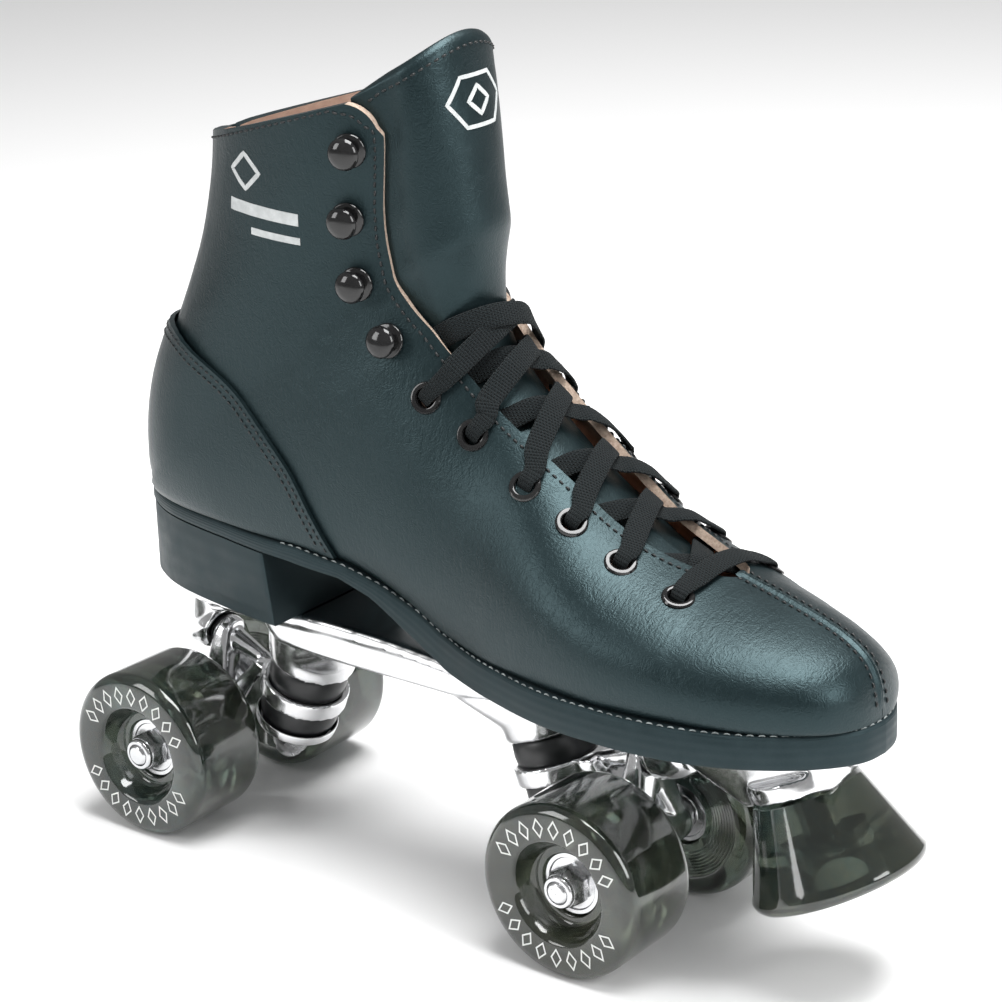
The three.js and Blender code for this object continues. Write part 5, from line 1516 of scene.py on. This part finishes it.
# The breadth's direction at each of the points, then everything run smoothly between them.
breadths = []
for i, (at, up, edge, wide, thick) in enumerate(way):
    t = (way[min(i + 1, len(way) - 1)][0] - way[max(i - 1, 0)][0]).normalized()
    b = edge if edge else up.cross(t)
    b = (b - t * b.dot(t)).normalized()
    if breadths and b.dot(breadths[-1]) < 0:
        b.negate()
    breadths.append(b)
spans = [(way[i + 1][0] - way[i][0]).length for i in range(len(way) - 1)]
LACE_SECTION = [
    (-1, -0.12), (-0.86, -0.42), (-0.45, -0.5), (0, -0.5), (0.45, -0.5), (0.86, -0.42), (1, -0.12),
    (1, 0.12), (0.86, 0.42), (0.45, 0.5), (0, 0.5), (-0.45, 0.5), (-0.86, 0.42), (-1, 0.12)
]
points, uvs, run = [], [], 0.0
for i in range(len(way) - 1):
    steps = max(2, int(spans[i] / 1.1))
    a, b, c, d = (way[min(max(k, 0), len(way) - 1)] for k in (i - 1, i, i + 1, i + 2))
    for k in range(steps):
        f = k / steps
        # Hermite between the two points, its ends' slopes held to the nearer neighbour's pace.
        m0 = (c[0] - a[0]) * (spans[i] / ((b[0] - a[0]).length + spans[i] + 1e-9))
        m1 = (d[0] - b[0]) * (spans[i] / ((d[0] - c[0]).length + spans[i] + 1e-9))
        h00, h10 = 2 * f ** 3 - 3 * f * f + 1, f ** 3 - 2 * f * f + f
        h01, h11 = -2 * f ** 3 + 3 * f * f, f ** 3 - f * f
        at = b[0] * h00 + m0 * h10 + c[0] * h01 + m1 * h11
        e = f * f * (3 - 2 * f)
        t = (c[0] - b[0]).normalized() if spans[i] > 0.01 else Vector((1, 0, 0))
        broad = (breadths[i] * (1 - e) + breadths[i + 1] * e).normalized()
        broad = (broad - t * broad.dot(t) * 0.9).normalized()
        deep = t.cross(broad).normalized()
        wide = b[3] + (c[3] - b[3]) * e
        thick = b[4] + (c[4] - b[4]) * e
        for x, y in LACE_SECTION:
            points.append(at + broad * x * wide + deep * y * thick)
            uvs.append(((x + 1) / 2 if y < 0 else 2 - (x + 1) / 2, (run + f * spans[i]) / 2.2))
    run += spans[i]
n = len(LACE_SECTION)
rows = len(points) // n
faces = [
    (v * n + k, v * n + (k + 1) % n, (v + 1) * n + (k + 1) % n, (v + 1) * n + k)
    for v in range(rows - 1) for k in range(n)
]
faces += [tuple(reversed(range(n))), tuple((rows - 1) * n + k for k in range(n))]
lace = mesh_piece("braided_lace", points, faces, uvs)
lace.data.materials.append(lace_cord)
outwards(lace)
smooth(lace, 60)
settle(lace, "boot_and_plate", "lace_cord", "lace")


# ---- seams and stitching ----
# A raised seam over the toe between two stitch rows, two rows inside the counter's edge, one
# row round each facing and top line, one round the tongue, and a welt stitch on the sole, its pale
# patches painted glints.


def surface_of(*pieces):
    points, faces = [], []
    for piece in pieces:
        base = len(points)
        points += [v.co.copy() for v in piece.data.vertices]
        faces += [tuple(base + v for v in face.vertices) for face in piece.data.polygons]
    return BVHTree.FromPolygons(points, faces)


def press_on(skin, point, outward):
    """The nearest place on a skin, in mm, with its normal turned to the outside."""
    place, n, _, _ = skin.find_nearest(middle + point * MM)
    return (place - middle) / MM, n if n.dot(outward) > 0 else -n


def stitch_row(name, places, look, pitch=3.0, long=2.2, r=0.42, up=0.12):
    """Short rounded threads laid end to end along (point, normal) places, a gap between them."""
    line = [p for p, _ in places]
    lengths = [0.0]
    for a, b in zip(line, line[1:]):
        lengths.append(lengths[-1] + (b - a).length)
    points, faces = [], []
    at = 0
    for k in range(int(lengths[-1] / pitch)):
        ends = []
        for d in (k * pitch, k * pitch + long):
            while at < len(line) - 2 and lengths[at + 1] < d:
                at += 1
            f = min(max((d - lengths[at]) / max(lengths[at + 1] - lengths[at], 1e-6), 0), 1)
            ends.append(line[at].lerp(line[at + 1], f))
        t = (ends[1] - ends[0]).normalized()
        n = places[at][1]
        n = (n - t * n.dot(t)).normalized()
        sideways = t.cross(n)
        base = len(points)
        beads = [(0.0, 0.3, -0.8), (0.2, 0.9, 0.0), (0.5, 1.0, 0.45), (0.8, 0.9, 0.0), (1.0, 0.3, -0.8)]
        for f, fat, lift in beads:
            p = ends[0].lerp(ends[1], f) + n * (up + lift * r)
            for q in range(6):
                a = q * math.pi / 3
                points.append(p + (sideways * math.cos(a) + n * math.sin(a)) * r * fat)
        for v in range(len(beads) - 1):
            for q in range(6):
                faces.append((
                    base + v * 6 + q, base + v * 6 + (q + 1) % 6, base + (v + 1) * 6 + (q + 1) % 6,
                    base + (v + 1) * 6 + q
                ))
        faces.append(tuple(base + q for q in reversed(range(6))))
        faces.append(tuple(base + (len(beads) - 1) * 6 + q for q in range(6)))
    row = mesh_piece(name, points, faces)
    row.data.materials.append(look)
    for face in row.data.polygons:
        face.use_smooth = True
    settle(row, "boot_and_plate", "boot_leather")


# Toe seam: a low ridge where the halves meet, down the middle of the toe.
ridge = []
seam_s = [0.6 + k * 0.15 for k in range(56)]
for s in seam_s:
    fade = max(min(1, (s - 0.5) / 1.2, (9.1 - s) / 0.6), 0)
    for y, h in (
        (-2.6, -0.35), (-1.6, 0.12), (-0.8, 0.55), (-0.25, 0.72), (0, 0.5), (0.25, 0.72), (0.8, 0.55),
        (1.6, 0.12), (2.6, -0.35)
    ):
        ridge.append(front_point(
            s, max(abs(y), 0.05), -1 if y < 0 else 1, h * fade - 0.05 * (1 - fade)
        )[0])
seam = mesh_piece("toe_seam_ridge", ridge, sheet_faces(len(seam_s), 9))
if seam.data.polygons[100].normal.z < 0:
    seam.data.flip_normals()
modify(seam, "SOLIDIFY", thickness=0.5 * MM, offset=-1)
seam.data.materials.append(vamp_leather)
smooth(seam, 60)
settle(seam, "boot_and_plate", "boot_leather")

STITCH_INSET = 3.3
counter_skin = surface_of(counter)
for hand, side in (("right", -1), ("left", 1)):
    skin = surface_of(halves[side])
    toe = [front_point(0.9 + k * 0.1, 3.2, side) for k in range(84)]
    stitch_row("toe_stitches_" + hand, [press_on(skin, p, n) for p, n in toe], thread)
    # Up the facing, round the corner and back along the top line to the heel.
    corner_s, c, n, u, t, _ = corner(side)
    places = []
    s = 9.4
    while s < corner_s:
        w = throat(s)
        edge = front_point(s, w, side)[0]
        while (front_point(s, w, side)[0] - edge).length < STITCH_INSET:
            w += 0.1
        places.append(front_point(s, w, side))
        s += 0.12
    bend = CORNER_R - STITCH_INSET
    places += [
        (c + u * bend * math.cos(math.radians(q * 9)) + t * bend * math.sin(math.radians(q * 9)), n)
        for q in range(1, 10)
    ]
    for k in range(150):
        b = 2 - 0.0115 * k
        p = form_point(TOP - 0.26, b, side)
        if (p - c).dot(u) < 0:
            places.append((p, Vector((0.1, side, 0.1))))
    places = [press_on(skin, p, n) for p, n in places]
    stitch_row("facing_stitches_" + hand, places, thread)
    # Two rows inside the counter's edge.
    for row, inset in (("outer", 1.8), ("inner", 4.4)):
        places = []
        for i in range(3, len(counter_seam) - 3):
            a, b = counter_seam[i - 1], counter_seam[i + 1]
            way_2d = (b - a).normalized()
            p = counter_seam[i] + Vector((way_2d.y, -way_2d.x)) * inset
            if p.y < SOLE_Z + along(FEATHER, p.x) + 2:
                continue
            hit = counter_skin.ray_cast(
                middle + Vector((p.x, side * 90, p.y)) * MM, Vector((0, -side, 0))
            )
            if hit[0]:
                places.append(((hit[0] - middle) / MM, hit[1] if hit[1].y * side > 0 else -hit[1]))
        stitch_row("counter_stitches_%s_%s" % (row, hand), places, thread, 2.6, 1.9, 0.3)

# Round the top of the tongue, a little in from the edge.
tongue_skin = surface_of(tongue)
places = []
for k in range(60):
    w = -27.5 + k * 55 / 59
    side = -1 if w < 0 else 1
    p, n = front_point(TOP, abs(w), side, tongue_height(TOP, abs(w)))
    lift = TONGUE_RISE * (1 - (w / TONGUE_FADE) ** 2) - 4.6
    places.append((p + TONGUE_LEAN * lift, Vector((1, 0.2 * side, 0.1))))
stitch_row("tongue_stitches", [press_on(tongue_skin, p, n) for p, n in places], thread)

# The welt stitch lies on the sole's margin, outside the leather, from waist to waist by the toe; its pale
# patches are painted glints.
margin = [(x, y) for x, y in sole_loop(1.15)]
places = [(Vector((x, y, above(x) + 0.05)), Vector((0, 0, 1))) for x, y in margin if x > -34]
stitch_row("welt_stitches", places, welt_glint_thread, 3.6, 2.3, 0.28)

# ---- badges ----
# Where the real boot carries printed marks this one has plain shapes: a lozenge over two bars
# on the shaft, and a lozenge in a six-sided frame on the tongue.
badge_print = finish("badge_print", (0.4, 0.42, 0.42), (0.55, 0.57, 0.57), 300.0, 0.3, 0.45)


def ribbons(name, paths, lay):
    """Flat bands of given breadth along 2-D paths, each point laid on the leather."""
    points, faces = [], []
    for path, breadth in paths:
        fine_path = []
        for a, b in zip(path, path[1:]):
            steps = max(1, int((Vector(b) - Vector(a)).length / 1.0))
            fine_path += [Vector(a).lerp(Vector(b), k / steps) for k in range(steps)]
        closed = path[0] == path[-1]
        if not closed:
            fine_path.append(Vector(path[-1]))
        m = len(fine_path)
        base = len(points)
        for i, p in enumerate(fine_path):
            a = fine_path[(i - 1) % m] if closed or i > 0 else p
            b = fine_path[(i + 1) % m] if closed or i < m - 1 else p
            t = (b - a).normalized()
            off = Vector((-t.y, t.x)) * breadth / 2
            points += [lay(p + off), lay(p - off)]
        for i in range(m if closed else m - 1):
            j = (i + 1) % m
            faces.append((base + 2 * i, base + 2 * i + 1, base + 2 * j + 1, base + 2 * j))
    badge = mesh_piece(name, points, faces)
    modify(badge, "SOLIDIFY", thickness=0.16 * MM, offset=0)
    badge.data.materials.append(badge_print)
    outwards(badge)
    settle(badge, "boot_and_plate", "boot_leather")


near_skin = surface_of(halves[-1])


def on_shaft(p):
    hit = near_skin.ray_cast(middle + Vector((p.x, -90, p.y)) * MM, Vector((0, 1, 0)))
    return (hit[0] - middle) / MM + Vector((0, -0.08, 0))


def on_tongue(p):
    hit = tongue_skin.ray_cast(middle + Vector((90, p.x, p.y)) * MM, Vector((-1, 0, 0)))
    return (hit[0] - middle) / MM + Vector((0.08, 0, 0))


ribbons(
    "shaft_badge",
    [
        ([(-42, 256), (-35, 250), (-42, 244), (-49, 250), (-42, 256)], 1.6),
        ([(-50, 238), (-20, 236)], 4.2), ([(-40, 230), (-20, 228.6)], 2.4)
    ],
    on_shaft,
)
ribbons(
    "tongue_badge",
    [
        ([(-13, 276), (-7, 284), (7, 284), (13, 276), (7, 268), (-7, 268), (-13, 276)], 1.3),
        ([(-5, 276), (0, 280.5), (5, 276), (0, 271.5), (-5, 276)], 1.5)
    ],
    on_tongue,
)
